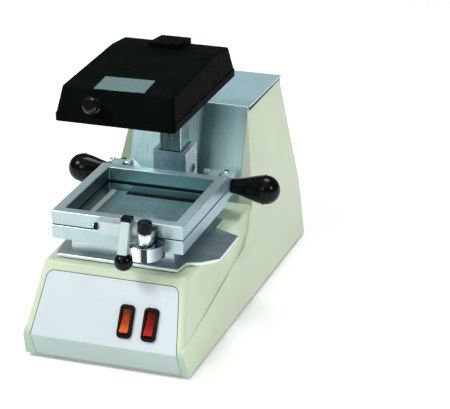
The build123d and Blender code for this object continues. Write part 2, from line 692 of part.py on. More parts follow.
# ------------------------------------------------------------------ carriage on the column
with BuildPart() as carriage_block:
    with BuildSketch(side(-19.0)) as block_side:
        with BuildLine():
            Polyline((84.0, 117.0), (84.0, 163.0), (121.0, 165.0), (121.0, 117.0), close=True)
        make_face()
    extrude(amount=38.0)
    fillet(carriage_block.edges().filter_by(Axis.Z), radius=3.0)
    chamfer(carriage_block.edges().filter_by(lambda e: e.center().Z > 162.5), 0.6)
    with BuildSketch(flat(110.0)):
        with Locations((0, COL_Y)):
            RectangleRounded(2 * 13.6, 31.2, 2.0)
    extrude(amount=60.0, mode=Mode.SUBTRACT)
    with BuildSketch(side(10.0)):
        with Locations((118.5 - 17.5, 141.0)):
            Circle(3.02)
    extrude(amount=12.0, mode=Mode.SUBTRACT)
save(carriage_block, "carriage_block", "carriage_block")

with BuildPart() as slide_bushing:
    with BuildSketch(flat(118.0)):
        with Locations((0, COL_Y)):
            RectangleRounded(2 * 13.58, 31.16, 2.0)
            RectangleRounded(2 * COL_HX + 0.14, 2 * COL_HY + 0.14, 1.65, mode=Mode.SUBTRACT)
    extrude(amount=43.6)
save(slide_bushing, "slide_bushing", "slide_bushing")

with BuildPart() as friction_plunger:
    with BuildSketch(side(13.7)):
        with Locations((COL_Y, 141.0)):
            Circle(3.0)
    extrude(amount=7.0)
    with BuildSketch(side(19.05)):
        with Locations((COL_Y, 141.0)):
            Circle(5.0)
    extrude(amount=2.2)
    with BuildSketch(side(21.25)):
        with Locations((COL_Y, 141.0)):
            Rectangle(7.0, 1.2)
    extrude(amount=-1.2, mode=Mode.SUBTRACT)
save(friction_plunger, "friction_plunger", "friction_plunger")

with BuildPart() as carriage_crossbar:
    with BuildSketch(flat(117.0)) as bar_plan:
        with BuildLine():
            Polyline((-66, 74), (66, 74), (66, 109), (50, 109), (32, 88), (32, 84), (-32, 84), (-32, 88),
                     (-50, 109), (-66, 109), close=True)
        make_face()
    extrude(amount=22.5)
    # step that carries the lower frame's rear bar
    with BuildSketch(flat(118.0)):
        with Locations((0, 72.0)):
            Rectangle(132, 4.0)
    extrude(amount=LF_TOP - 118.0)
    # hinge ears
    for ex in (-66.0, -47.6, 41.0, 60.4):
        wide = 5.6 if abs(ex) > 60 or ex == 60.4 else 6.6
        with BuildSketch(side(ex)):
            with BuildLine():
                Polyline((HINGE_Y - 5.2, 139.0), (HINGE_Y - 5.2, HINGE_Z))
                ThreePointArc((HINGE_Y - 5.2, HINGE_Z), (HINGE_Y, HINGE_Z + 5.2), (HINGE_Y + 5.2, HINGE_Z))
                Polyline((HINGE_Y + 5.2, HINGE_Z), (HINGE_Y + 5.2, 139.0), (HINGE_Y - 5.2, 139.0))
            make_face()
        extrude(amount=wide)
    for ex in (-66.0, 41.0):
        with BuildSketch(side(ex - 1)):
            with Locations((HINGE_Y, HINGE_Z)):
                Circle(2.52)
        extrude(amount=27.0, mode=Mode.SUBTRACT)
    # tapped ends for the grip studs
    for ex in (-66.5, 54.0):
        with BuildSketch(side(ex)):
            with Locations((GRIP_Y, GRIP_Z)):
                Circle(4.02)
        extrude(amount=12.5, mode=Mode.SUBTRACT)
    with BuildSketch(flat(128.0)):
        with Locations((-58, 101.5), (58, 101.5), (-37, 82.0), (37, 82.0)):
            Circle(2.05)
    extrude(amount=14.0, mode=Mode.SUBTRACT)
save(carriage_crossbar, "carriage_crossbar", "carriage_crossbar")

with BuildPart() as crossbar_screws:
    for bx, by in ((-58, 101.5), (58, 101.5), (-37, 82.0), (37, 82.0)):
        with BuildSketch(flat(129.0)):
            with Locations((bx, by)):
                Circle(2.0)
        extrude(amount=10.5)
        with BuildSketch(flat(139.5)):
            with Locations((bx, by)):
                Circle(2.9)
        extrude(amount=2.6)
        with BuildSketch(flat(140.4)):
            with Locations((bx, by)):
                RegularPolygon(1.6, 6)
        extrude(amount=2.0, mode=Mode.SUBTRACT)
save(crossbar_screws, "crossbar_screws", "crossbar_screws")

with BuildPart() as hinge_pins:
    for ex in (-66.3, 40.7):
        with BuildSketch(side(ex)):
            with Locations((HINGE_Y, HINGE_Z)):
                Circle(2.5)
        extrude(amount=25.6)
save(hinge_pins, "hinge_pins", "hinge_pins")


def frame_ring(z, height):
    with BuildPart() as ring:
        with BuildSketch(flat(z)):
            RectangleRounded(2 * FRAME_HALF, 2 * FRAME_HALF, 1.2)
            RectangleRounded(2 * WINDOW_HALF, 2 * WINDOW_HALF, 1.5, mode=Mode.SUBTRACT)
        extrude(amount=height)
    return ring


with BuildPart() as lower_frame:
    add(frame_ring(LF_LOW, LF_TOP - LF_LOW).part)
    chamfer(lower_frame.edges().filter_by(lambda e: abs(e.center().Z - LF_TOP) < 0.01), 0.5)
    chamfer(lower_frame.edges().filter_by(lambda e: abs(e.center().Z - LF_LOW) < 0.01), 0.5)
save(lower_frame, "lower_frame", "lower_frame")

with BuildPart() as lower_gasket:
    with BuildSketch(flat(LF_TOP)):
        RectangleRounded(138.4, 138.4, 1.2)
        RectangleRounded(121, 121, 1.5, mode=Mode.SUBTRACT)
        with Locations((0, 71)):
            Rectangle(150, 4, mode=Mode.SUBTRACT)
    extrude(amount=1.0)
save(lower_gasket, "lower_gasket", "lower_gasket")

with BuildPart() as clamp_lug:
    with BuildSketch(flat(LF_LOW)) as lug_plan:
        with Locations((34, -80)):
            Circle(20.0)
        with Locations((26.8 - 20, -80)):
            Rectangle(40, 60, mode=Mode.SUBTRACT)
        with Locations((40, -50)):
            Rectangle(60, 40, mode=Mode.SUBTRACT)
    extrude(amount=LF_TOP - LF_LOW)
    chamfer(clamp_lug.edges().filter_by(lambda e: abs(e.center().Z - LF_TOP) < 0.01 and e.center().Y + YC < -71), 0.6)
    with BuildSketch(side(20.0)):
        with Locations((-84, 127)):
            Circle(2.52)
    extrude(amount=20.5, mode=Mode.SUBTRACT)
save(clamp_lug, "clamp_lug", "clamp_lug")

with BuildPart() as catch_pin:
    with BuildSketch(side(9.3)):
        with Locations((-84, 127)):
            Circle(3.5)
    extrude(amount=2.5)
    chamfer(catch_pin.edges().filter_by(GeomType.CIRCLE).sort_by(Axis.X)[:1], 0.6)
    with BuildSketch(side(11.8)):
        with Locations((-84, 127)):
            Circle(2.5)
    extrude(amount=28.2)
save(catch_pin, "catch_pin", "catch_pin")

with BuildPart() as grip_studs:
    for ex in (-90.0, 54.6):
        with BuildSketch(side(ex)):
            with Locations((GRIP_Y, GRIP_Z)):
                Circle(4.0)
        extrude(amount=35.4)
save(grip_studs, "grip_studs", "grip_studs")


def grip(sign):
    """Tapered phenolic grip turned about the stud axis, thin end against the crossbar."""
    with BuildPart() as turned:
        with BuildSketch(Plane(origin=(0, GRIP_Y - YC, GRIP_Z), x_dir=(sign, 0, 0), z_dir=(0, -sign, 0))):
            with BuildLine():
                Polyline((66.1, 4.05), (66.1, 7.2), (67.0, 7.9))
                Spline((67.0, 7.9), (80.0, 10.2), (92.0, 13.6), (101.6, 15.5))
                Polyline((101.6, 15.5), (102.2, 16.1), (103.3, 16.1), (103.9, 15.5))
                ThreePointArc((103.9, 15.5), (103.9 + 15.5 * math.sqrt(0.5), 15.5 * math.sqrt(0.5)), (119.4, 0.0))
                Polyline((119.4, 0.0), (91.0, 0.0), (91.0, 4.05), (66.1, 4.05))
            make_face()
        revolve(axis=Axis((0, GRIP_Y - YC, GRIP_Z), (1, 0, 0)), revolution_arc=360)
    return turned


with BuildPart() as grip_right:
    add(grip(1).part)
save(grip_right, "grip_right", "grip_right")
with BuildPart() as grip_left:
    add(grip(-1).part)
save(grip_left, "grip_left", "grip_left")

# ------------------------------------------------------------------ upper frame
with BuildPart() as upper_frame:
    add(frame_ring(UF_LOW, UF_TOP - UF_LOW).part)
    chamfer(upper_frame.edges().filter_by(lambda e: abs(e.center().Z - UF_TOP) < 0.01), 0.6)
    chamfer(upper_frame.edges().filter_by(lambda e: abs(e.center().Z - UF_LOW) < 0.01), 0.5)
    # two ears reach back between the crossbar's ears
    for ex in (-59.6, 48.4):
        with BuildSketch(side(ex)):
            with BuildLine():
                Polyline((68.0, 140.6), (68.0, UF_TOP - 0.6), (76.0, UF_TOP + 1.2), (HINGE_Y, HINGE_Z + 4.6))
                ThreePointArc((HINGE_Y, HINGE_Z + 4.6), (HINGE_Y + 4.6, HINGE_Z), (HINGE_Y, HINGE_Z - 4.6))
                Line((HINGE_Y, HINGE_Z - 4.6), (68.0, 140.6))
            make_face()
        extrude(amount=11.2)
        with BuildSketch(side(ex - 1)):
            with Locations((HINGE_Y, HINGE_Z)):
                Circle(2.56)
        extrude(amount=14.0, mode=Mode.SUBTRACT)
save(upper_frame, "upper_frame", "upper_frame")

with BuildPart() as latch_bracket:
    with BuildSketch(side(-17.0)) as keeper_side:
        with BuildLine():
            Polyline((-70.0, 136.5), (-70.0, 148.0), (-82.5, 148.0), (-85.0, 146.0), (-85.0, 136.5), close=True)
        make_face()
    extrude(amount=28.2)
    left_edge = latch_bracket.edges().filter_by(Axis.Z).filter_by(lambda e: e.center().X < -16)
    chamfer(left_edge.sort_by(Axis.Y)[:1], 7.0)
    with BuildSketch(side(22.3)):
        with Locations((LEVER_Y, LEVER_Z)):
            Circle(7.0)
        with Locations((-74.5, LEVER_Z)):
            Rectangle(9.0, 8.0)
    extrude(amount=5.7)
    with BuildSketch(side(-1.0)):
        with Locations((LEVER_Y, LEVER_Z)):
            Circle(2.02)
    extrude(amount=30.0, mode=Mode.SUBTRACT)
save(latch_bracket, "latch_bracket", "latch_bracket")

with BuildPart() as latch_pivot_pin:
    with BuildSketch(side(-0.8)):
        with Locations((LEVER_Y, LEVER_Z)):
            Circle(2.0)
    extrude(amount=29.2)
    with BuildSketch(side(28.1)):
        with Locations((LEVER_Y, LEVER_Z)):
            Circle(3.4)
    extrude(amount=1.5)
save(latch_pivot_pin, "latch_pivot_pin", "latch_pivot_pin")

with BuildPart() as adjuster_tongue:
    with BuildSketch(flat(134.2)):
        with Locations((ADJ_X, ADJ_Y)):
            Circle(7.0)
        with Locations((ADJ_X, (ADJ_Y - 70.0) / 2)):
            Rectangle(14.0, -70.0 - ADJ_Y)
        with Locations((ADJ_X, ADJ_Y)):
            Circle(3.06, mode=Mode.SUBTRACT)
    extrude(amount=10.8)
    chamfer(adjuster_tongue.edges().filter_by(lambda e: abs(e.center().Z - 145.0) < 0.01 and e.center().Y + YC < -72), 0.5)
save(adjuster_tongue, "adjuster_tongue", "adjuster_tongue")

# ------------------------------------------------------------------ latch lever
with BuildPart() as latch_lever:
    with BuildSketch(side(12.3)) as lever_side:
        with BuildLine():
            Polyline((-88.0, 157.0), (-78.8, 157.0), (-78.8, LEVER_Z + 8.4))
            ThreePointArc((-78.8, LEVER_Z + 8.4), (LEVER_Y + 5.9, LEVER_Z + 5.9), (LEVER_Y + 8.4, LEVER_Z))
            Polyline((LEVER_Y + 8.4, LEVER_Z), (-72.5, 140.0), (-76.0, 130.0), (-84.0, 130.3), (-90.4, 134.6),
                     (-90.4, 127.0), (-91.0, 125.0), (-91.0, 123.5), (-100.0, 123.5), (-99.6, 126.0), (-93.6, 142.0),
                     (-88.0, 157.0))
        make_face()
    extrude(amount=9.5)
    chamfer(latch_lever.edges().filter_by(lambda e: e.center().Z > 126 and e.center().Y + YC < -88 and abs(e.center().X - 17) > 4), 0.5)
    with BuildSketch(side(11.0)):
        with Locations((LEVER_Y, LEVER_Z)):
            Circle(2.06)
    extrude(amount=12.0, mode=Mode.SUBTRACT)
    with BuildSketch(flat(118.0)):
        with Locations((17.05, -95.5)):
            Circle(2.5)
    extrude(amount=6.5)
save(latch_lever, "latch_lever", "latch_lever")

with BuildPart() as latch_ball:
    with BuildSketch(Plane(origin=(17.05, -95.5 - YC, 114.7), x_dir=(1, 0, 0), z_dir=(0, -1, 0))):
        with BuildLine():
            flat_top = math.sqrt(9.4 ** 2 - 3.8 ** 2)
            Polyline((0, -9.4), (0, flat_top), (3.8, flat_top))
            ThreePointArc((3.8, flat_top), (9.4, 0), (0, -9.4))
        make_face()
    revolve(axis=Axis((17.05, -95.5 - YC, 114.7), (0, 0, 1)), revolution_arc=360)
    with BuildSketch(flat(117.9)):
        with Locations((17.05, -95.5)):
            Circle(2.52)
    extrude(amount=8.0, mode=Mode.SUBTRACT)
save(latch_ball, "latch_ball", "latch_ball")

# ------------------------------------------------------------------ gap adjuster
with BuildPart() as adjuster_screw:
    with BuildSketch(flat(132.9)):
        with Locations((ADJ_X, ADJ_Y)):
            Circle(3.0)
    extrude(amount=19.0)
    chamfer(adjuster_screw.edges().filter_by(GeomType.CIRCLE).sort_by(Axis.Z)[:1], 0.6)
save(adjuster_screw, "adjuster_screw", "adjuster_screw")

with BuildPart() as adjuster_knob:
    with BuildSketch(flat(147.0)):
        with Locations((ADJ_X, ADJ_Y)):
            Circle(7.3)
    extrude(amount=10.2)
    fillet(adjuster_knob.edges().sort_by(Axis.Z)[-1:], radius=1.8)
    with BuildSketch(flat(146.0)):
        with Locations((ADJ_X, ADJ_Y)):
            with PolarLocations(8.2, 8):
                Circle(1.9)
    extrude(amount=12.0, mode=Mode.SUBTRACT)
    with BuildSketch(flat(145.6)):
        with Locations((ADJ_X, ADJ_Y)):
            Circle(5.0)
    extrude(amount=1.4)
    with BuildSketch(flat(140.0)):
        with Locations((ADJ_X, ADJ_Y)):
            Circle(3.02)
    extrude(amount=12.0, mode=Mode.SUBTRACT)
save(adjuster_knob, "adjuster_knob", "adjuster_knob")

# ------------------------------------------------------------------ heater hood
def hood_solid(grow=0.0):
    """Tapered upper body of the hood: side outline cut by the front outline."""
    g = grow
    d = 0.5                                 # the walls run this far down into the lip at the same slope
    with BuildPart() as body:
        with BuildSketch(side(-80)):
            with BuildLine():
                Polyline((-69.2 - g - 0.376 * d, HOOD_LIP - d), (-59.5 - g, 277.3 + g), (72.0, 281.0 + g),
                         (110.5 + g, 276.5 + g), (118.2 + g + 0.308 * d, HOOD_LIP - d), close=True)
            make_face()
        extrude(amount=160)
        with BuildSketch(front(130)):
            with BuildLine():
                Polyline((-61.6 - g - 0.147 * d, HOOD_LIP - d), (-57.2 - g, 281.5 + g), (57.2 + g, 281.5 + g),
                         (61.6 + g + 0.147 * d, HOOD_LIP - d), close=True)
            make_face()
        extrude(amount=220, mode=Mode.INTERSECT)
    return body


with BuildPart() as hood_shell:
    add(hood_solid(0.0).part)
    upright = hood_shell.edges().filter_by(
        lambda e: abs(e.center().X) > 50 and abs(e.tangent_at(0.5).Z) > 0.6)
    fillet(upright, radius=4.0)
    top_rim = hood_shell.edges().filter_by(
        lambda e: e.center().Z > 274 and (abs(e.center().X) > 50 or e.center().Y + YC < -58 or e.center().Y + YC > 109))
    fillet(top_rim, radius=2.0)
    with BuildSketch(flat(HOOD_LOW)) as lip_plan:
        with Locations((0, 24.5)):
            RectangleRounded(2 * HOOD_HALF, 189.0, 4.5)
    extrude(amount=HOOD_LIP - HOOD_LOW)
    add(hood_solid(-3.0).part, mode=Mode.SUBTRACT)
    with BuildSketch(flat(HOOD_LOW)):
        with Locations((0, 24.5)):
            RectangleRounded(2 * HOOD_HALF - 6.0, 183.0, 2.0)
    extrude(amount=7.2, mode=Mode.SUBTRACT)
    # pillars that carry the hub
    with BuildSketch(flat(263.0)):
        with Locations((-20, 86), (20, 86), (-20, 102), (20, 102)):
            Circle(4.0)
    extrude(amount=14.0)
    with BuildSketch(flat(262.0)):
        with Locations((-20, 86), (20, 86), (-20, 102), (20, 102)):
            Circle(1.95)
    extrude(amount=8.0, mode=Mode.SUBTRACT)
    # knob screw hole in the front face
    with BuildSketch(Plane(origin=(KNOB_X, -69.2 + (KNOB_Z - HOOD_LIP) * 0.37597 - YC, KNOB_Z), x_dir=(1, 0, 0),
                           z_dir=(0, -0.93603, 0.35192))):
        Circle(2.55)
    extrude(amount=-12.0, mode=Mode.SUBTRACT)
save(hood_shell, "hood_shell", "hood_shell")

with BuildPart() as hood_hub:
    with BuildSketch(flat(259.0)):
        with Locations((0, 93.5)):
            RectangleRounded(52, 28, 4)
    extrude(amount=4.0)
    with BuildSketch(flat(258.0)):
        with Locations((0, COL_Y)):
            Circle(8.0)
    extrude(amount=10.4)
    with BuildSketch(flat(250.0)):
        with Locations((0, COL_Y)):
            Circle(5.06)
    extrude(amount=30.0, mode=Mode.SUBTRACT)
    with BuildSketch(flat(250.0)):
        with Locations((-20, 86), (20, 86), (-20, 102), (20, 102)):
            Circle(1.95)
    extrude(amount=20.0, mode=Mode.SUBTRACT)
save(hood_hub, "hood_hub", "hood_hub")

with BuildPart() as hood_screws:
    for bx, by in ((-20, 86), (20, 86), (-20, 102), (20, 102)):
        with BuildSketch(flat(256.4)):
            with Locations((bx, by)):
                Circle(3.4)
        extrude(amount=2.6)
        with BuildSketch(flat(259.0)):
            with Locations((bx, by)):
                Circle(1.9)
        extrude(amount=9.5)
save(hood_screws, "hood_screws", "hood_screws")

with BuildPart() as hood_cap:
    with BuildSketch(side(-16.4)):
        with BuildLine():
            Polyline((70.5, 280.98), (71.2, 287.0), (110.0, 283.0), (111.0, 276.45), (110.5, 276.5), (72.0, 281.0),
                     close=True)
        make_face()
    extrude(amount=32.8)
    chamfer(hood_cap.edges().filter_by(lambda e: e.center().Z > 282.9), 0.6)
save(hood_cap, "hood_cap", "hood_cap")

with BuildPart() as hood_label:
    top_tilt = math.atan2(281.0 - 277.3, 72.0 + 59.5)
    with BuildSketch(Plane(origin=(0.75, -59.5 - YC, 277.3), x_dir=(1, 0, 0),
                           z_dir=(0, -math.sin(top_tilt), math.cos(top_tilt)))):
        with Locations((0, 18.6)):
            RectangleRounded(51.5, 35.0, 0.8)
    extrude(amount=0.5)
save(hood_label, "hood_label", "hood_label")

FACE_Y, FACE_Z = -0.93603, 0.35192      # outward normal of the hood's front face
with BuildPart() as hood_knob:
    knob_root = Vector(KNOB_X, -69.2 + (KNOB_Z - HOOD_LIP) * 0.37597 - YC, KNOB_Z)
    knob_axis = Axis(knob_root, (0, FACE_Y, FACE_Z))
    with BuildSketch(Plane(origin=knob_root, x_dir=(0, FACE_Y, FACE_Z), z_dir=(1, 0, 0))):
        with BuildLine():
            Polyline((0.0, 0.0), (-5.0, 0.0), (-5.0, 2.5), (0.03, 2.5), (0.03, 7.4), (2.0, 7.4), (3.4, 5.4), (6.0, 5.0),
                     (8.5, 6.2))
            ThreePointArc((8.5, 6.2), (12.5, 8.4), (17.5, 6.8))
            Polyline((17.5, 6.8), (18.6, 5.0), (18.8, 0.0), (0.0, 0.0))
        make_face()
    revolve(axis=knob_axis, revolution_arc=360)
save(hood_knob, "hood_knob", "hood_knob")

with BuildPart() as reflector:
    with BuildSketch(flat(247.4)):
        with Locations((0, 8.5)):
            RectangleRounded(108, 131, 3)
    extrude(amount=20.0, taper=6)
    with BuildSketch(flat(247.4)):
        with Locations((0, 8.5)):
            RectangleRounded(106, 129, 2)
    extrude(amount=19.0, taper=6, mode=Mode.SUBTRACT)
    with BuildSketch(front(60.0)):
        with Locations((-42, 256.5), (42, 256.5)):
            Circle(4.3)
    extrude(amount=-24.0, mode=Mode.SUBTRACT)
save(reflector, "reflector", "reflector")

with BuildPart() as heating_element:
    with BuildLine() as element_line:
        FilletPolyline((-42, 84 - YC, 256.5), (-42, -50 - YC, 256.5), (-14, -50 - YC, 256.5), (-14, 58 - YC, 256.5),
                       (14, 58 - YC, 256.5), (14, -50 - YC, 256.5), (42, -50 - YC, 256.5), (42, 84 - YC, 256.5),
                       radius=11.0)
    with BuildSketch(front(84.0)):
        with Locations((-42, 256.5)):
            Circle(3.2)
    sweep(path=element_line.line)
save(heating_element, "heating_element", "heating_element")

with BuildPart() as element_insulators:
    for ex in (-42, 42):
        with BuildSketch(front(70.0)):
            with Locations((ex, 256.5)):
                Circle(4.2)
                Circle(3.25, mode=Mode.SUBTRACT)
        extrude(amount=-12.0)
        with BuildSketch(front(75.4)):
            with Locations((ex, 256.5)):
                Circle(6.5)
                Circle(3.25, mode=Mode.SUBTRACT)
        extrude(amount=-5.0)
save(element_insulators, "element_insulators", "element_insulators")

with BuildPart() as heater_guard:
    with BuildSketch(flat(246.0)):
        with Locations((0, 24.5)):
            RectangleRounded(2 * HOOD_HALF - 6.4, 182.6, 1.8)
        with Locations((0, 5.0)):
            with GridLocations(9.4, 0, 11, 1):
                SlotOverall(124, 5.6, rotation=90, mode=Mode.SUBTRACT)
        with Locations((0, COL_Y)):
            Circle(12.6, mode=Mode.SUBTRACT)
    extrude(amount=1.4)
save(heater_guard, "heater_guard", "heater_guard")
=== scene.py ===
import math
import bpy
import bmesh
from mathutils import Matrix, Vector


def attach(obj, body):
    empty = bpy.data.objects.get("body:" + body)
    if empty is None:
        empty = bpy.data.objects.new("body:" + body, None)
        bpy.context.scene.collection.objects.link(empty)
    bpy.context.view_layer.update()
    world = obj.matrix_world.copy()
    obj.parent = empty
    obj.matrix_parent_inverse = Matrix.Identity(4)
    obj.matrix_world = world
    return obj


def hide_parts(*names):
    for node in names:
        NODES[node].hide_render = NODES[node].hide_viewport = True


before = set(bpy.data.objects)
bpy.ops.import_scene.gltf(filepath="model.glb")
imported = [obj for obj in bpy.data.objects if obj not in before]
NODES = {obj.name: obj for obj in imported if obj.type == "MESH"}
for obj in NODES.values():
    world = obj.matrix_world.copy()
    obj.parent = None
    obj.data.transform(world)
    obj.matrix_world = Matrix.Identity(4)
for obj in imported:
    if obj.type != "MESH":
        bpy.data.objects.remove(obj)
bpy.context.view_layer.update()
scene = bpy.context.scene

YC = 0.089326          # forming-frame centre to the row frame's origin, along Y


# ------------------------------------------------------------------ node helpers
class Mat:
    """A procedural material under construction."""

    def __init__(self, name, color=(0.8, 0.8, 0.8), metallic=0.0, rough=0.5, **sockets):
        self.m = bpy.data.materials.new(name)
        self.m.use_nodes = True
        self.nt = self.m.node_tree
        self.b = self.nt.nodes["Principled BSDF"]
        self.b.inputs["Base Color"].default_value = (*color, 1.0)
        self.b.inputs["Metallic"].default_value = metallic
        self.b.inputs["Roughness"].default_value = rough
        for k, v in sockets.items():
            self.b.inputs[k.replace("_", " ")].default_value = v
        self._co = {}
        self.bump_out = None

    def coords(self, scale=(1, 1, 1), rot=(0, 0, 0)):
        key = (tuple(scale), tuple(rot))
        if key not in self._co:
            if "tc" not in self._co:
                self._co["tc"] = self.nt.nodes.new("ShaderNodeTexCoord").outputs["Object"]
            mp = self.nt.nodes.new("ShaderNodeMapping")
            mp.inputs["Scale"].default_value = scale
            mp.inputs["Rotation"].default_value = rot
            self.nt.links.new(self._co["tc"], mp.inputs["Vector"])
            self._co[key] = mp.outputs["Vector"]
        return self._co[key]

    def noise(self, scale, detail=3.0, rough=0.55, stretch=(1, 1, 1), rot=(0, 0, 0), distort=0.0):
        n = self.nt.nodes.new("ShaderNodeTexNoise")
        n.inputs["Scale"].default_value = scale
        n.inputs["Detail"].default_value = detail
        n.inputs["Roughness"].default_value = rough
        n.inputs["Distortion"].default_value = distort
        self.nt.links.new(self.coords(stretch, rot), n.inputs["Vector"])
        return n.outputs["Fac"]

    def voronoi(self, scale, stretch=(1, 1, 1)):
        n = self.nt.nodes.new("ShaderNodeTexVoronoi")
        n.inputs["Scale"].default_value = scale
        self.nt.links.new(self.coords(stretch), n.inputs["Vector"])
        return n.outputs["Distance"]

    def ramp(self, fac, stops):
        r = self.nt.nodes.new("ShaderNodeValToRGB")
        el = r.color_ramp.elements
        while len(el) < len(stops):
            el.new(0.5)
        for e, (p, c) in zip(el, stops):
            e.position = p
            e.color = (*c, 1.0) if len(c) == 3 else c
        self.nt.links.new(fac, r.inputs["Fac"])
        return r.outputs["Color"]

    def span(self, fac, lo, hi, a=0.3, b=0.7):
        r = self.nt.nodes.new("ShaderNodeMapRange")
        r.inputs["From Min"].default_value = a
        r.inputs["From Max"].default_value = b
        r.inputs["To Min"].default_value = lo
        r.inputs["To Max"].default_value = hi
        self.nt.links.new(fac, r.inputs["Value"])
        return r.outputs["Result"]

    def mix(self, fac, a, b, kind="MIX"):
        n = self.nt.nodes.new("ShaderNodeMix")
        n.data_type = "RGBA"
        n.blend_type = kind
        if isinstance(fac, (int, float)):
            n.inputs["Factor"].default_value = fac
        else:
            self.nt.links.new(fac, n.inputs["Factor"])
        for sock, val in ((n.inputs["A"], a), (n.inputs["B"], b)):
            pass
        ia = [s for s in n.inputs if s.name == "A" and s.type == "RGBA"][0]
        ib = [s for s in n.inputs if s.name == "B" and s.type == "RGBA"][0]
        for sock, val in ((ia, a), (ib, b)):
            if isinstance(val, tuple):
                sock.default_value = (*val, 1.0)
            else:
                self.nt.links.new(val, sock)
        return [s for s in n.outputs if s.type == "RGBA"][0]

    def part(self, source, axis):
        """One component of the shading normal or of the object's own coordinates."""
        if source == "normal":
            out = self.nt.nodes.new("ShaderNodeNewGeometry").outputs["Normal"]
        else:
            out = self.nt.nodes.new("ShaderNodeTexCoord").outputs["Object"]
        sep = self.nt.nodes.new("ShaderNodeSeparateXYZ")
        self.nt.links.new(out, sep.inputs["Vector"])
        return sep.outputs[axis]

    def times(self, a, b):
        n = self.nt.nodes.new("ShaderNodeMath")
        n.operation = "MULTIPLY"
        self.nt.links.new(a, n.inputs[0])
        self.nt.links.new(b, n.inputs[1])
        return n.outputs[0]

    def color(self, out):
        self.nt.links.new(out, self.b.inputs["Base Color"])
        return self

    def roughness(self, out):
        self.nt.links.new(out, self.b.inputs["Roughness"])
        return self

    def bump(self, fac, strength=0.2, dist=0.0002):
        n = self.nt.nodes.new("ShaderNodeBump")
        n.inputs["Strength"].default_value = strength
        n.inputs["Distance"].default_value = dist
        self.nt.links.new(fac, n.inputs["Height"])
        if self.bump_out is not None:
            self.nt.links.new(self.bump_out, n.inputs["Normal"])
        self.bump_out = n.outputs["Normal"]
        self.nt.links.new(self.bump_out, self.b.inputs["Normal"])
        return self


def tint(c, k):
    return tuple(min(1.0, x * k) for x in c)


# ------------------------------------------------------------------ materials
MATS = {}


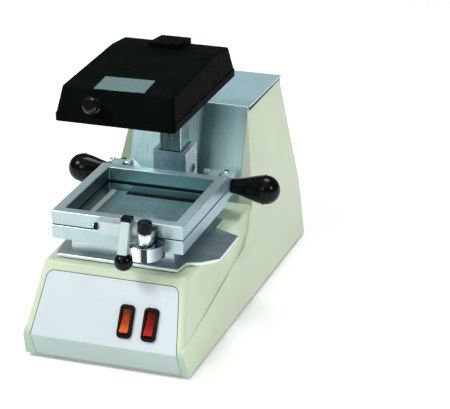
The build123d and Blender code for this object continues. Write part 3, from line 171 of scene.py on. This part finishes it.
def make_materials():
    # satin enamel on pressed sheet: faint orange peel, slight yellowing
    m = Mat("cream_paint", rough=0.36, Specular_IOR_Level=0.5, Coat_Weight=0.12, Coat_Roughness=0.22)
    base = (0.62, 0.728, 0.53)
    n = m.noise(9.0, 4, 0.6)
    tone = m.ramp(n, [(0.30, tint(base, 0.965)), (0.52, base), (0.72, (0.645, 0.738, 0.530))])
    # tower's front returns: painted light on the right return, painted shade on the left one
    front = m.times(m.span(m.part("normal", "Y"), 1.0, 0.0, -0.75, -0.45),
                    m.span(m.part("object", "Z"), 0.0, 1.0, 0.098, 0.120))
    side = m.span(m.part("object", "X"), 0.0, 1.0, -0.01, 0.01)
    tone = m.mix(front, tone, m.mix(side, (0.30, 0.43, 0.27), (0.86, 0.95, 0.74)))
    # darker, greener on the low front-facing faces round the toe
    toe = m.times(m.span(m.part("normal", "Y"), 1.0, 0.0, -0.80, -0.35),
                  m.span(m.part("object", "Z"), 1.0, 0.0, 0.030, 0.036))
    m.color(m.mix(toe, tone, (0.42, 0.56, 0.43)))
    m.roughness(m.span(m.noise(55.0, 4), 0.30, 0.44))
    m.bump(m.noise(420.0, 2), 0.10, 0.00012)
    MATS["cream_paint"] = m.m

    # anodised front panel: very fine vertical-less satin with slight mottling
    m = Mat("panel_silver", metallic=0.35, rough=0.42)
    base = (0.62, 0.70, 0.725)
    n = m.noise(14.0, 4, 0.6)
    # painted shade: the steeper toe fold of the panel darker and greener
    toe = m.span(m.part("normal", "Z"), 1.0, 0.0, 0.12, 0.30)
    m.color(m.mix(toe, m.ramp(n, [(0.3, tint(base, 0.97)), (0.7, tint(base, 1.03))]), (0.47, 0.57, 0.54)))
    g = m.noise(700.0, 3, 0.6, stretch=(0.06, 1, 1))
    m.roughness(m.span(g, 0.36, 0.50))
    m.bump(g, 0.05, 0.00006)
    MATS["panel_silver"] = m.m

    # brushed stainless tower cover: grain along X
    m = Mat("stainless", metallic=0.64, rough=0.30)
    m.b.inputs["Anisotropic"].default_value = 0.0
    base = (0.54, 0.77, 0.79)
    g = m.noise(1500.0, 3, 0.62, stretch=(1, 0.02, 0.02))
    c = m.noise(700.0, 2, 0.6, stretch=(1, 0.025, 0.025))
    tone = m.ramp(c, [(0.30, tint(base, 0.92)), (0.5, base), (0.72, tint(base, 1.08))])
    # painted reflection: a soft dark band on the front faces beside the column, standing for the column mirrored in the
    # sheet
    x = m.part("object", "X")
    column_reflection_band = m.times(m.times(m.span(x, 0.0, 1.0, 0.010, 0.015), m.span(x, 1.0, 0.0, 0.026, 0.054)),
                   m.span(m.part("normal", "Y"), 1.0, 0.0, -0.80, -0.50))
    # painted shade: up-facing roof faces get a darker, less metallic copy of the sheet's finish to tone down the top
    # light
    up = m.span(m.part("normal", "Z"), 0.0, 1.0, 0.85, 0.97)
    roof = m.ramp(c, [(0.30, (0.285, 0.430, 0.470)), (0.5, (0.310, 0.465, 0.505)), (0.72, (0.335, 0.500, 0.540))])
    m.color(m.mix(up, m.mix(column_reflection_band, tone, (0.12, 0.21, 0.225)), roof))
    m.nt.links.new(m.span(m.part("normal", "Z"), 0.64, 0.12, 0.85, 0.97), m.b.inputs["Metallic"])
    m.roughness(m.span(g, 0.26, 0.40))
    m.bump(g, 0.05, 0.00006)
    MATS["stainless"] = m.m

    # winged plate: dark sanded faces; the rim and side faces painted bright as a highlight
    m = Mat("plate_blue_grey", metallic=0.80, rough=0.42)
    base = (0.255, 0.320, 0.355)
    c = m.noise(70.0, 4, 0.6, stretch=(0.35, 1, 1))
    face = m.ramp(c, [(0.28, tint(base, 0.80)), (0.52, base), (0.78, tint(base, 1.22))])
    side = m.span(m.part("normal", "Z"), 1.0, 0.0, 0.80, 0.97)
    # painted light: the left part of the plate, in the frames' shade, lightened
    left_painted_light = m.span(m.part("object", "X"), 1.0, 0.0, -0.074, -0.034)
    face = m.mix(left_painted_light, face, (0.84, 0.93, 0.92))
    # painted light: the rear part of the plate lightened where the frames and grip shade it
    face = m.mix(m.span(m.part("object", "Y"), 0.0, 1.0, -0.066, -0.046), face, (0.42, 0.54, 0.52))
    m.color(m.mix(side, face, (0.78, 0.86, 0.86)))
    g = m.noise(900.0, 3, 0.6, stretch=(0.04, 1, 1))
    m.roughness(m.span(g, 0.34, 0.50))
    m.bump(g, 0.06, 0.00006)
    MATS["plate_blue_grey"] = m.m

    # platen: duller brushed face
    m = Mat("platen_face", metallic=0.88, rough=0.38)
    base = (0.55, 0.79, 0.81)
    c = m.noise(420.0, 3, 0.6, stretch=(0.05, 1, 1))
    tone = m.ramp(c, [(0.28, tint(base, 0.84)), (0.52, base), (0.78, tint(base, 1.16))])
    m.color(m.mix(m.span(m.part("normal", "Y"), 1.0, 0.0, -0.9, -0.6), tone, (0.64, 0.77, 0.77)))
    g = m.noise(1100.0, 3, 0.6, stretch=(0.04, 1, 1))
    m.roughness(m.span(g, 0.30, 0.48))
    m.bump(g, 0.08, 0.00006)
    MATS["platen_face"] = m.m

    # satin nickel on the lever and its keeper
    m = Mat("satin_nickel", metallic=0.12, rough=0.46)
    base = (0.58, 0.70, 0.69)
    m.color(m.ramp(m.noise(60.0, 2), [(0.3, tint(base, 0.95)), (0.7, tint(base, 1.03))]))
    m.roughness(m.span(m.noise(90.0, 2), 0.42, 0.50))
    MATS["satin_nickel"] = m.m

    # ground post: painted dark as shade, with the +X side painted bright as light
    m = Mat("column_steel", metallic=0.86, rough=0.26)
    base = (0.14, 0.215, 0.225)
    c = m.noise(60.0, 3, 0.6, stretch=(1, 1, 0.06))
    tone = m.ramp(c, [(0.28, tint(base, 0.90)), (0.52, base), (0.78, tint(base, 1.1))])
    m.color(m.mix(m.span(m.part("normal", "X"), 0.0, 1.0, 0.6, 0.95), tone, (0.76, 0.97, 0.99)))
    m.roughness(m.span(m.noise(300.0, 3, 0.6, stretch=(1, 1, 0.05)), 0.18, 0.34))
    MATS["column_steel"] = m.m

    # plated block: front painted dark as a reflection, the +X flank painted bright as light
    m = Mat("block_plate", metallic=0.12, rough=0.24)
    flank = m.span(m.part("normal", "X"), 0.0, 1.0, 0.6, 0.95)
    c = m.noise(50.0, 3, 0.5)
    front = m.ramp(c, [(0.3, (0.13, 0.23, 0.27)), (0.7, (0.21, 0.34, 0.39))])
    m.color(m.mix(flank, front, (0.88, 0.98, 0.98)))
    m.roughness(m.span(m.noise(140.0, 3), 0.18, 0.32))
    MATS["block_plate"] = m.m

    # lug: chrome, with painted dark reflection bands across it, darkest towards its outer corner
    m = Mat("lug_chrome", metallic=1.0, rough=0.10)
    across = m.span(m.part("object", "X"), 0.0, 1.0, 0.0268, 0.0540)
    m.color(m.ramp(across, [(0.0, (0.86, 0.94, 0.94)), (0.26, (0.74, 0.82, 0.83)), (0.40, (0.30, 0.37, 0.41)),
                            (0.64, (0.70, 0.79, 0.80)), (0.82, (0.26, 0.33, 0.37)), (1.0, (0.08, 0.11, 0.13))]))
    m.roughness(m.span(m.noise(160.0, 4), 0.07, 0.15))
    MATS["lug_chrome"] = m.m

    # tongue: plated collar; the arm painted near-black as shade
    m = Mat("tongue_shade_steel", metallic=0.80, rough=0.28)
    arm_painted_shade = m.ramp(m.noise(120.0, 3), [(0.3, (0.030, 0.042, 0.052)), (0.7, (0.060, 0.080, 0.095))])
    m.color(m.mix(m.span(m.part("object", "Y"), 0.0, 1.0, -0.1725, -0.1685), (0.72, 0.80, 0.81), arm_painted_shade))
    m.roughness(m.span(m.noise(240.0, 3), 0.12, 0.28))
    MATS["tongue_shade_steel"] = m.m

    # glossy black of the hood knob
    m = Mat("gloss_black", metallic=0.0, rough=0.05, Specular_IOR_Level=0.34)
    m.color(m.ramp(m.noise(60.0, 3), [(0.3, (0.0020, 0.0020, 0.0022)), (0.7, (0.0038, 0.0036, 0.0038))]))
    m.roughness(m.span(m.noise(180.0, 3), 0.04, 0.09))
    MATS["gloss_black"] = m.m

    # near-white strip: painted highlight along the platen's left edge
    m = Mat("bright_strip", metallic=0.10, rough=0.30)
    m.color(m.ramp(m.noise(80.0, 2), [(0.3, (0.84, 0.93, 0.93)), (0.7, (0.90, 0.96, 0.96))]))
    m.roughness(m.span(m.noise(120.0, 2), 0.25, 0.35))
    MATS["bright_strip"] = m.m

    # machined aluminium frames
    m = Mat("frame_metal", metallic=0.55, rough=0.30)
    base = (0.455, 0.60, 0.612)
    c = m.noise(48.0, 3, 0.5, stretch=(1, 0.3, 1))
    tone = m.ramp(c, [(0.28, tint(base, 0.94)), (0.5, base), (0.75, tint(base, 1.05))])
    # painted light: up-facing faces lighter
    tone = m.mix(m.span(m.part("normal", "Z"), 0.0, 1.0, 0.80, 0.97), tone, (0.58, 0.74, 0.765))
    # the window's inner walls painted darker, the left one most: painted shade and a painted reflection of the dark
    # hood
    left = m.times(m.span(m.part("normal", "X"), 0.0, 1.0, 0.7, 0.95),
                   m.span(m.part("object", "X"), 1.0, 0.0, -0.055, -0.045))
    rear = m.times(m.times(m.span(m.part("normal", "Y"), 1.0, 0.0, -0.95, -0.7),
                           m.span(m.part("object", "Y"), 0.0, 1.0, -0.040, -0.034)),
                   m.span(m.part("object", "X"), 1.0, 0.0, 0.0592, 0.0598))
    tone = m.mix(left, tone, (0.045, 0.085, 0.082))
    # painted shade: the outer +X flank darker
    flank = m.times(m.span(m.part("normal", "X"), 0.0, 1.0, 0.7, 0.95),
                    m.span(m.part("object", "X"), 0.0, 1.0, 0.062, 0.066))
    tone = m.mix(flank, tone, (0.33, 0.49, 0.56))
    m.color(m.mix(rear, tone, (0.13, 0.26, 0.28)))
    m.roughness(m.span(m.noise(60.0, 2, 0.5), 0.27, 0.35))
    MATS["frame_metal"] = m.m

    # chrome plate
    m = Mat("chrome", metallic=1.0, rough=0.09)
    base = (0.60, 0.68, 0.69)
    m.color(m.ramp(m.noise(40.0, 3), [(0.3, tint(base, 0.96)), (0.7, tint(base, 1.02))]))
    m.roughness(m.span(m.noise(160.0, 4), 0.06, 0.14))
    MATS["chrome"] = m.m

    # turned / ground steel
    m = Mat("steel", metallic=1.0, rough=0.3)
    base = (0.44, 0.53, 0.57)
    c = m.noise(90.0, 4, 0.6, stretch=(1, 1, 0.06))
    m.color(m.ramp(c, [(0.28, tint(base, 0.80)), (0.52, base), (0.78, tint(base, 1.18))]))
    g = m.noise(520.0, 3, 0.6, stretch=(1, 1, 0.05))
    m.roughness(m.span(g, 0.20, 0.42))
    m.bump(g, 0.10, 0.00008)
    MATS["steel"] = m.m

    # zinc plated fasteners
    m = Mat("zinc", metallic=1.0, rough=0.34)
    base = (0.60, 0.64, 0.66)
    m.color(m.ramp(m.noise(120.0, 4), [(0.3, tint(base, 0.86)), (0.7, tint(base, 1.08))]))
    m.roughness(m.span(m.noise(400.0, 3), 0.26, 0.46))
    MATS["zinc"] = m.m

    # grey painted sheet under the body
    m = Mat("sheet_steel", metallic=0.0, rough=0.5)
    base = (0.30, 0.32, 0.32)
    m.color(m.ramp(m.noise(30.0, 4), [(0.3, tint(base, 0.9)), (0.7, tint(base, 1.08))]))
    m.roughness(m.span(m.noise(140.0, 4), 0.42, 0.60))
    m.bump(m.noise(600.0, 2), 0.12, 0.00012)
    MATS["sheet_steel"] = m.m

    # black fine-textured enamel on the heater hood
    m = Mat("black_hood", metallic=0.0, rough=0.50, Specular_IOR_Level=0.008)
    base = (0.0026, 0.0040, 0.0036)
    m.color(m.ramp(m.noise(40.0, 4), [(0.3, tint(base, 0.75)), (0.7, tint(base, 1.4))]))
    m.roughness(m.span(m.noise(220.0, 4), 0.42, 0.60))
    m.bump(m.noise(700.0, 3, 0.6), 0.55, 0.00030)
    MATS["black_hood"] = m.m

    # moulded phenolic: glossy black
    m = Mat("black_phenolic", metallic=0.0, rough=0.08, Specular_IOR_Level=0.15)
    base = (0.0032, 0.0030, 0.0032)
    m.color(m.ramp(m.noise(60.0, 3), [(0.3, tint(base, 0.8)), (0.7, tint(base, 1.3))]))
    m.roughness(m.span(m.noise(180.0, 4), 0.06, 0.15))
    m.bump(m.noise(120.0, 2), 0.03, 0.00010)
    MATS["black_phenolic"] = m.m

    # satin black plastic
    m = Mat("black_plastic", metallic=0.0, rough=0.30, Specular_IOR_Level=0.12)
    base = (0.0040, 0.0040, 0.0044)
    m.color(m.ramp(m.noise(60.0, 3), [(0.3, tint(base, 0.8)), (0.7, tint(base, 1.3))]))
    m.roughness(m.span(m.noise(260.0, 4), 0.26, 0.44))
    m.bump(m.noise(900.0, 2), 0.10, 0.00008)
    MATS["black_plastic"] = m.m

    # lenses: painted glow brightest in the lower half, with painted shade darkening them towards the top
    for name, top, mid, low in (("lens_amber", (0.10, 0.020, 0.008), (0.42, 0.045, 0.010), (0.80, 0.13, 0.018)),
                                ("lens_red", (0.045, 0.006, 0.005), (0.24, 0.008, 0.004), (0.50, 0.012, 0.006))):
        m = Mat(name, metallic=0.0, rough=0.16, Specular_IOR_Level=0.12)
        height = m.span(m.part("object", "Z"), 0.0, 1.0, 0.0416, 0.0648)
        tone = m.ramp(height, [(0.10, tint(low, 0.80)), (0.24, low), (0.46, mid), (0.70, tint(mid, 0.62)), (0.88, top)])
        n = m.noise(240.0, 3, 0.6, stretch=(1.0, 0.6, 0.6))
        m.color(m.mix(m.span(n, 0.0, 0.30, 0.35, 0.75), tone, low))
        m.roughness(m.span(m.noise(300.0, 3), 0.12, 0.22))
        MATS[name] = m.m

    m = Mat("rubber", metallic=0.0, rough=0.7)
    base = (0.018, 0.018, 0.019)
    m.color(m.ramp(m.noise(50.0, 4), [(0.3, tint(base, 0.8)), (0.7, tint(base, 1.4))]))
    m.roughness(m.span(m.noise(300.0, 4), 0.60, 0.82))
    m.bump(m.noise(800.0, 3), 0.2, 0.00015)
    MATS["rubber"] = m.m

    m = Mat("brass", metallic=1.0, rough=0.3)
    base = (0.76, 0.58, 0.26)
    m.color(m.ramp(m.noise(80.0, 3), [(0.3, tint(base, 0.85)), (0.7, tint(base, 1.08))]))
    m.roughness(m.span(m.noise(300.0, 4), 0.2, 0.4))
    MATS["brass"] = m.m

    m = Mat("ceramic", metallic=0.0, rough=0.55)
    base = (0.74, 0.71, 0.64)
    m.color(m.ramp(m.noise(90.0, 4), [(0.3, tint(base, 0.88)), (0.7, tint(base, 1.05))]))
    m.roughness(m.span(m.noise(300.0, 4), 0.45, 0.68))
    m.bump(m.noise(700.0, 2), 0.15, 0.0001)
    MATS["ceramic"] = m.m

    m = Mat("element", metallic=0.85, rough=0.5)
    m.color(m.ramp(m.noise(150.0, 4), [(0.3, (0.10, 0.085, 0.08)), (0.7, (0.22, 0.18, 0.16))]))
    m.roughness(m.span(m.noise(400.0, 4), 0.4, 0.65))
    m.bump(m.noise(900.0, 2), 0.2, 0.0001)
    MATS["element"] = m.m

    m = Mat("label_silver", metallic=0.75, rough=0.42)
    base = (0.25, 0.39, 0.395)
    n = m.noise(900.0, 4, 0.7)
    m.color(m.ramp(n, [(0.3, tint(base, 0.62)), (0.7, tint(base, 1.30))]))
    m.roughness(m.span(m.noise(500.0, 3), 0.34, 0.50))
    MATS["label_silver"] = m.m

    m = Mat("duct_grey", metallic=0.0, rough=0.55)
    base = (0.10, 0.105, 0.11)
    m.color(m.ramp(m.noise(60.0, 4), [(0.3, tint(base, 0.85)), (0.7, tint(base, 1.15))]))
    m.roughness(m.span(m.noise(300.0, 4), 0.45, 0.65))
    MATS["duct_grey"] = m.m


make_materials()
OWN = {"platen_block": "platen_face", "latch_lever": "satin_nickel", "latch_bracket": "satin_nickel",
       "column": "column_steel", "carriage_block": "block_plate", "clamp_lug": "lug_chrome",
       "adjuster_tongue": "tongue_shade_steel", "hood_knob": "gloss_black"}

for name, o in NODES.items():
    for s in o.material_slots:
        key = OWN.get(name) or (s.material.name.split(".")[0] if s.material else "")
        if key in MATS:
            s.material = MATS[key]


# ------------------------------------------------------------------ broken edges on machined and pressed pieces
def broken_edges(node, width, segments=2, angle=28.0):
    """Softens the sharp edges of a carried-over node with modifiers only."""
    o = NODES[node]
    w = o.modifiers.new("weld", "WELD")
    w.merge_threshold = 1e-6
    b = o.modifiers.new("broken_edges", "BEVEL")
    b.width = width
    b.segments = segments
    b.limit_method = "ANGLE"
    b.angle_limit = math.radians(angle)
    b.use_clamp_overlap = True
    b.harden_normals = True


for node, width in (("upper_frame", 0.00045), ("lower_frame", 0.00045), ("carriage_crossbar", 0.0004),
                    ("latch_lever", 0.0004), ("latch_bracket", 0.0004), ("clamp_lug", 0.0004),
                    ("adjuster_tongue", 0.0004), ("carriage_block", 0.0006), ("column", 0.0005),
                    ("hood_cap", 0.0005)):
    broken_edges(node, width)


# ------------------------------------------------------------------ small pieces made here
def rounded(x0, x1, y0, y1, r, n=5):
    """Outline of a rectangle with rounded corners, counter-clockwise."""
    pts = []
    for cx, cy, a in ((x1 - r, y0 + r, -90), (x1 - r, y1 - r, 0), (x0 + r, y1 - r, 90), (x0 + r, y0 + r, 180)):
        for i in range(n + 1):
            t = math.radians(a + 90.0 * i / n)
            pts.append((cx + r * math.cos(t), cy + r * math.sin(t)))
    return pts


def piece(name, bm, body, mat):
    bmesh.ops.recalc_face_normals(bm, faces=bm.faces)
    me = bpy.data.meshes.new(name)
    bm.to_mesh(me)
    bm.free()
    o = bpy.data.objects.new(name, me)
    scene.collection.objects.link(o)
    me.materials.append(MATS[mat])
    me.shade_smooth_by_angle(angle=math.radians(30)) if hasattr(me, "shade_smooth_by_angle") else None
    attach(o, body)
    return o


def stack(bm, rings, close=True):
    """Skins a list of equal-length rings of points and closes both ends."""
    rows = [[bm.verts.new(p) for p in ring] for ring in rings]
    n = len(rows[0])
    for a, b in zip(rows, rows[1:]):
        for i in range(n):
            bm.faces.new((a[i], a[(i + 1) % n], b[(i + 1) % n], b[i]))
    if close:
        bm.faces.new(list(reversed(rows[0])))
        bm.faces.new(rows[-1])
    else:
        a, b = rows[-1], rows[0]
        for i in range(n):
            bm.faces.new((a[i], a[(i + 1) % n], b[(i + 1) % n], b[i]))


def inset(pts, d):
    cx = sum(p[0] for p in pts) / len(pts)
    cy = sum(p[1] for p in pts) / len(pts)
    hx = max(p[0] for p in pts) - cx
    hy = max(p[1] for p in pts) - cy
    return [(cx + (x - cx) * (hx - d) / hx, cy + (y - cy) * (hy - d) / hy) for x, y in pts]


def pad(name, outline, z0, z1, edge, body, mat):
    """A thin pad with a softened top edge."""
    bm = bmesh.new()
    rings = []
    for d, z in ((0.0, z0), (0.0, z1 - edge), (0.3 * edge, z1 - 0.3 * edge), (edge, z1)):
        rings.append([(x, y, z) for x, y in inset(outline, d)])
    stack(bm, rings)
    return piece(name, bm, body, mat)


mm = 0.001
# black strip across the back of the platen, painted shade for the gap there, and a near-white strip on its left side, a
# painted highlight along that edge
pad("platen_gap_shade", rounded(-0.0360, 0.0505, -0.0420, -0.0342, 0.0012), 0.12395, 0.12455, 0.0002, "platen", "black_plastic")
pad("platen_edge_strip", rounded(-0.0543, -0.0490, -0.1444, -0.0342, 0.0010), 0.12395, 0.12450, 0.0002,
    "platen", "bright_strip")

# lip of the gasket where it turns down inside the window
bm = bmesh.new()
yc = -YC
rings = []
for half, z in ((0.0591, 0.1334), (0.0586, 0.1334), (0.05845, 0.1331), (0.05845, 0.1308), (0.0586, 0.1305), (0.0591, 0.1305)):
    rings.append([(x, y + yc, z) for x, y in rounded(-half, half, -half, half, 0.0008, 3)])
stack(bm, rings, close=False)
piece("window_lip", bm, "carriage", "black_plastic")

# moulded cap over the upper end of the lever
bm = bmesh.new()
prof = [(-0.0892, 0.1524), (-0.0890, 0.1564), (-0.0884, 0.1573), (-0.0876, 0.1576), (-0.0794, 0.1576), (-0.0785, 0.1571),
        (-0.0782, 0.1562), (-0.0783, 0.1532)]
rings = []
for x, d in ((0.0119, 0.0005), (0.0123, 0.0), (0.0218, 0.0), (0.0222, 0.0005)):
    cy, cz = -0.0836, 0.1552
    rings.append([(x, cy + (y - cy) * (1 - d / 0.005) - YC, cz + (z - cz) * (1 - d / 0.003)) for y, z in prof])
stack(bm, rings)
piece("lever_cap", bm, "latch_lever", "black_phenolic")


def turned(name, profile, centre, n, body, mat):
    """A piece turned about an axis along X; profile is (x, radius) from left to right."""
    bm = bmesh.new()
    rings = []
    for x, r in profile:
        rings.append([(centre[0] + x, centre[1] + r * math.cos(2 * math.pi * i / n), centre[2] + r * math.sin(2 * math.pi * i / n))
                      for i in range(n)])
    stack(bm, rings)
    return piece(name, bm, body, mat)


# domed pin end and its washer at the left of the keeper
turned("keeper_pin", [(-0.0058, 0.0006), (-0.0056, 0.0013), (-0.0050, 0.0020), (-0.0040, 0.0024), (-0.0022, 0.0025), (-0.0020, 0.0025)],
       (-0.0168, -0.1695, 0.1420), 28, "upper_frame", "chrome")
turned("keeper_washer", [(-0.0024, 0.0029), (-0.0021, 0.0034), (-0.0006, 0.0035), (0.0004, 0.0035)],
       (-0.0168, -0.1695, 0.1420), 28, "upper_frame", "black_plastic")

# dark strip down the front of the lug: painted shade where its slot would be
bm = bmesh.new()
cx, cy, rr = 0.0404, -0.17572, 0.0136
arc = [math.radians(a) for a in range(-104, -76, 2)]
prof = [(cx + (rr + 0.00016) * math.cos(a), cy + (rr + 0.00016) * math.sin(a)) for a in arc]
prof += [(cx + (rr - 0.0004) * math.cos(a), cy + (rr - 0.0004) * math.sin(a)) for a in reversed(arc)]
stack(bm, [[(x, y, z) for x, y in prof] for z in (0.1184, 0.1190, 0.1314, 0.1320)])
piece("lug_slot_shade", bm, "carriage", "rubber")

# dark bead round the front panel's edge along the slope: painted shade for the gap round the panel
pm = NODES["front_panel"]
edges = {}
slope = None
for f in sorted(pm.data.polygons, key=lambda f: -f.area)[:1]:
    slope = f.normal.copy()
for f in pm.data.polygons:
    if f.normal.dot(slope) > 0.999 and f.normal.z > 0.2:
        vs = [tuple(round(c, 6) for c in pm.matrix_world @ pm.data.vertices[i].co) for i in f.vertices]
        for a, b in zip(vs, vs[1:] + vs[:1]):
            if (b, a) in edges:
                del edges[(b, a)]
            else:
                edges[(a, b)] = True
step = {a: b for a, b in edges}
loops = []
while step:
    start = min(step)
    loop, v = [start], step.pop(start)
    while v != start and v in step:
        loop.append(v)
        v = step.pop(v)
    loops.append(loop)
loop = max(loops, key=lambda l: sum((Vector(a) - Vector(b)).length for a, b in zip(l, l[1:] + l[:1])))
low = min(p[2] for p in loop)
k = next(i for i in range(len(loop)) if loop[i][2] < low + 0.0005 and loop[(i + 1) % len(loop)][2] > low + 0.0005)
path = [Vector(p) for p in loop[k:] + loop[:k]]
while path and path[-1].z < low + 0.0005 and path[-2].z < low + 0.0005:
    path.pop()
bm = bmesh.new()
rings = []
for i, p in enumerate(path):
    t = (path[min(i + 1, len(path) - 1)] - path[max(i - 1, 0)]).normalized()
    out = t.cross(slope).normalized()
    c = p + out * 0.00032 - slope * 0.00018
    rings.append([tuple(c + out * 0.00042 * math.cos(a) + slope * 0.00042 * math.sin(a))
                  for a in (2 * math.pi * j / 8 for j in range(8))])
stack(bm, rings)
piece("panel_gap_shade", bm, "base", "rubber")

# black strips under the long edges of the tower roof: painted shade under the roof's overhang
from mathutils.bvhtree import BVHTree


def tree(node):
    o = NODES[node]
    mw = o.matrix_world
    return BVHTree.FromPolygons([mw @ v.co for v in o.data.vertices], [tuple(f.vertices) for f in o.data.polygons])


shell, cover = tree("housing_shell"), tree("tower_cover")
for side, tag in ((1, "right"), (-1, "left")):
    rows = []
    for y in [0.0706 + 0.0028 * i for i in range(41)]:
        top = cover.ray_cast(Vector((side * 0.0654, y, 0.30)), Vector((0, 0, -1)))[0]
        if top is None or top.z < 0.190:
            continue
        z1 = top.z - 0.00125
        t = (y - 0.0706) / 0.112
        z0 = z1 - (0.0050 * (1 - t) + 0.0020 * t)
        a, b = (shell.ray_cast(Vector((side * 0.30, y, z)), Vector((-side, 0, 0)))[0] for z in (z1 - 0.003, z1 - 0.006))
        if a is None or b is None:
            continue
        lean = (abs(b.x) - abs(a.x)) / 0.003
        rows.append((y, z1, z0, abs(a.x) - lean * 0.003, abs(a.x) + lean * (z1 - 0.003 - z0)))
    if len(rows) > 3:
        bm = bmesh.new()
        rings = []
        for y, z1, z0, xa, xb in rows:
            rings.append([(side * (xa + 0.00015), y, z1), (side * (xa + 0.00035), y, z1 - 0.0004), (side * (xb + 0.00035), y, z0 + 0.0004),
                          (side * (xb + 0.00015), y, z0), (side * (xb - 0.0004), y, z0), (side * (xa - 0.0004), y, z1)])
        stack(bm, rings)
        piece("roof_shade_strip_" + tag, bm, "base", "black_plastic")

# the hood label, stuck on slightly askew
src = NODES["hood_label"]
me = src.data.copy()
me.transform(src.matrix_world)
vs = [v.co.copy() for v in me.vertices]
mid = sum(vs, Vector()) / len(vs)
nrm = max(me.polygons, key=lambda f: f.area).normal.copy()
if nrm.z < 0:
    nrm.negate()
me.transform(Matrix.Translation(mid) @ Matrix.Rotation(math.radians(2.6), 4, nrm) @ Matrix.Translation(-mid))
label = bpy.data.objects.new("label_plate", me)
scene.collection.objects.link(label)
me.materials.clear()
me.materials.append(MATS["label_silver"])
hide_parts("hood_label")
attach(label, "heater_hood")


# ------------------------------------------------------------------ floor, light, camera
def build_stage():
    me = bpy.data.meshes.new("floor")
    s = 6.0
    me.from_pydata([(-s, -s, 0), (s, -s, 0), (s, s, 0), (-s, s, 0)], [], [(0, 1, 2, 3)])
    floor = bpy.data.objects.new("floor", me)
    scene.collection.objects.link(floor)
    floor.location = (0, 0, -0.0004)
    m = Mat("floor_paper", rough=0.9, Specular_IOR_Level=0.1)
    m.color(m.ramp(m.noise(3.0, 3), [(0.3, (0.93, 0.93, 0.93)), (0.7, (0.95, 0.95, 0.95))]))
    m.b.inputs["Emission Color"].default_value = (1, 1, 1, 1)
    m.b.inputs["Emission Strength"].default_value = 0.16
    floor.data.materials.append(m.m)

    def area(name, loc, target, size, size_y, power, color=(1, 1, 1)):
        d = bpy.data.lights.new(name, "AREA")
        d.shape = "RECTANGLE"
        d.size, d.size_y = size, size_y
        d.energy = power
        d.color = color
        o = bpy.data.objects.new(name, d)
        scene.collection.objects.link(o)
        o.location = loc
        o.rotation_euler = (Vector(target) - Vector(loc)).to_track_quat("-Z", "Y").to_euler()
        return o

    area("key_softbox", (-1.25, -1.05, 1.75), (0, 0, 0.12), 0.62, 0.62, 27)
    area("top_softbox", (0.15, 0.55, 2.1), (0, 0.05, 0.1), 1.1, 0.9, 24)
    area("right_softbox", (1.9, -0.75, 1.25), (0, 0, 0.12), 0.5, 0.8, 12)
    area("front_strip", (-0.35, -2.3, 1.25), (0, 0, 0.12), 0.45, 0.9, 6.5)

    sun = bpy.data.lights.new("overhead_fill", "SUN")
    sun.energy = 0.55
    sun.angle = math.radians(70)
    so = bpy.data.objects.new("overhead_fill", sun)
    scene.collection.objects.link(so)
    so.rotation_euler = (math.radians(18), math.radians(-14), 0)

    w = bpy.data.worlds.new("studio")
    scene.world = w
    w.use_nodes = True
    w.node_tree.nodes["Background"].inputs["Color"].default_value = (0.90, 0.97, 1.0, 1)
    w.node_tree.nodes["Background"].inputs["Strength"].default_value = 0.13


def build_camera():
    cam = bpy.data.cameras.new("camera")
    cam.sensor_fit = "HORIZONTAL"
    cam.sensor_width = 36.0
    cam.lens = 146.97
    cam.clip_start, cam.clip_end = 0.05, 60
    o = bpy.data.objects.new("camera", cam)
    scene.collection.objects.link(o)
    right = Vector((0.94937, 0.31414, 0.0)).normalized()
    back = Vector((0.29029, -0.87729, 0.38219)).normalized()
    up = back.cross(right).normalized()
    right = up.cross(back).normalized()
    m = Matrix((right, up, back)).transposed().to_4x4()
    m.translation = (0.6270, -1.7119, 0.8542)
    o.matrix_world = m
    scene.camera = o


build_stage()
build_camera()
scene.view_settings.view_transform = "Standard"
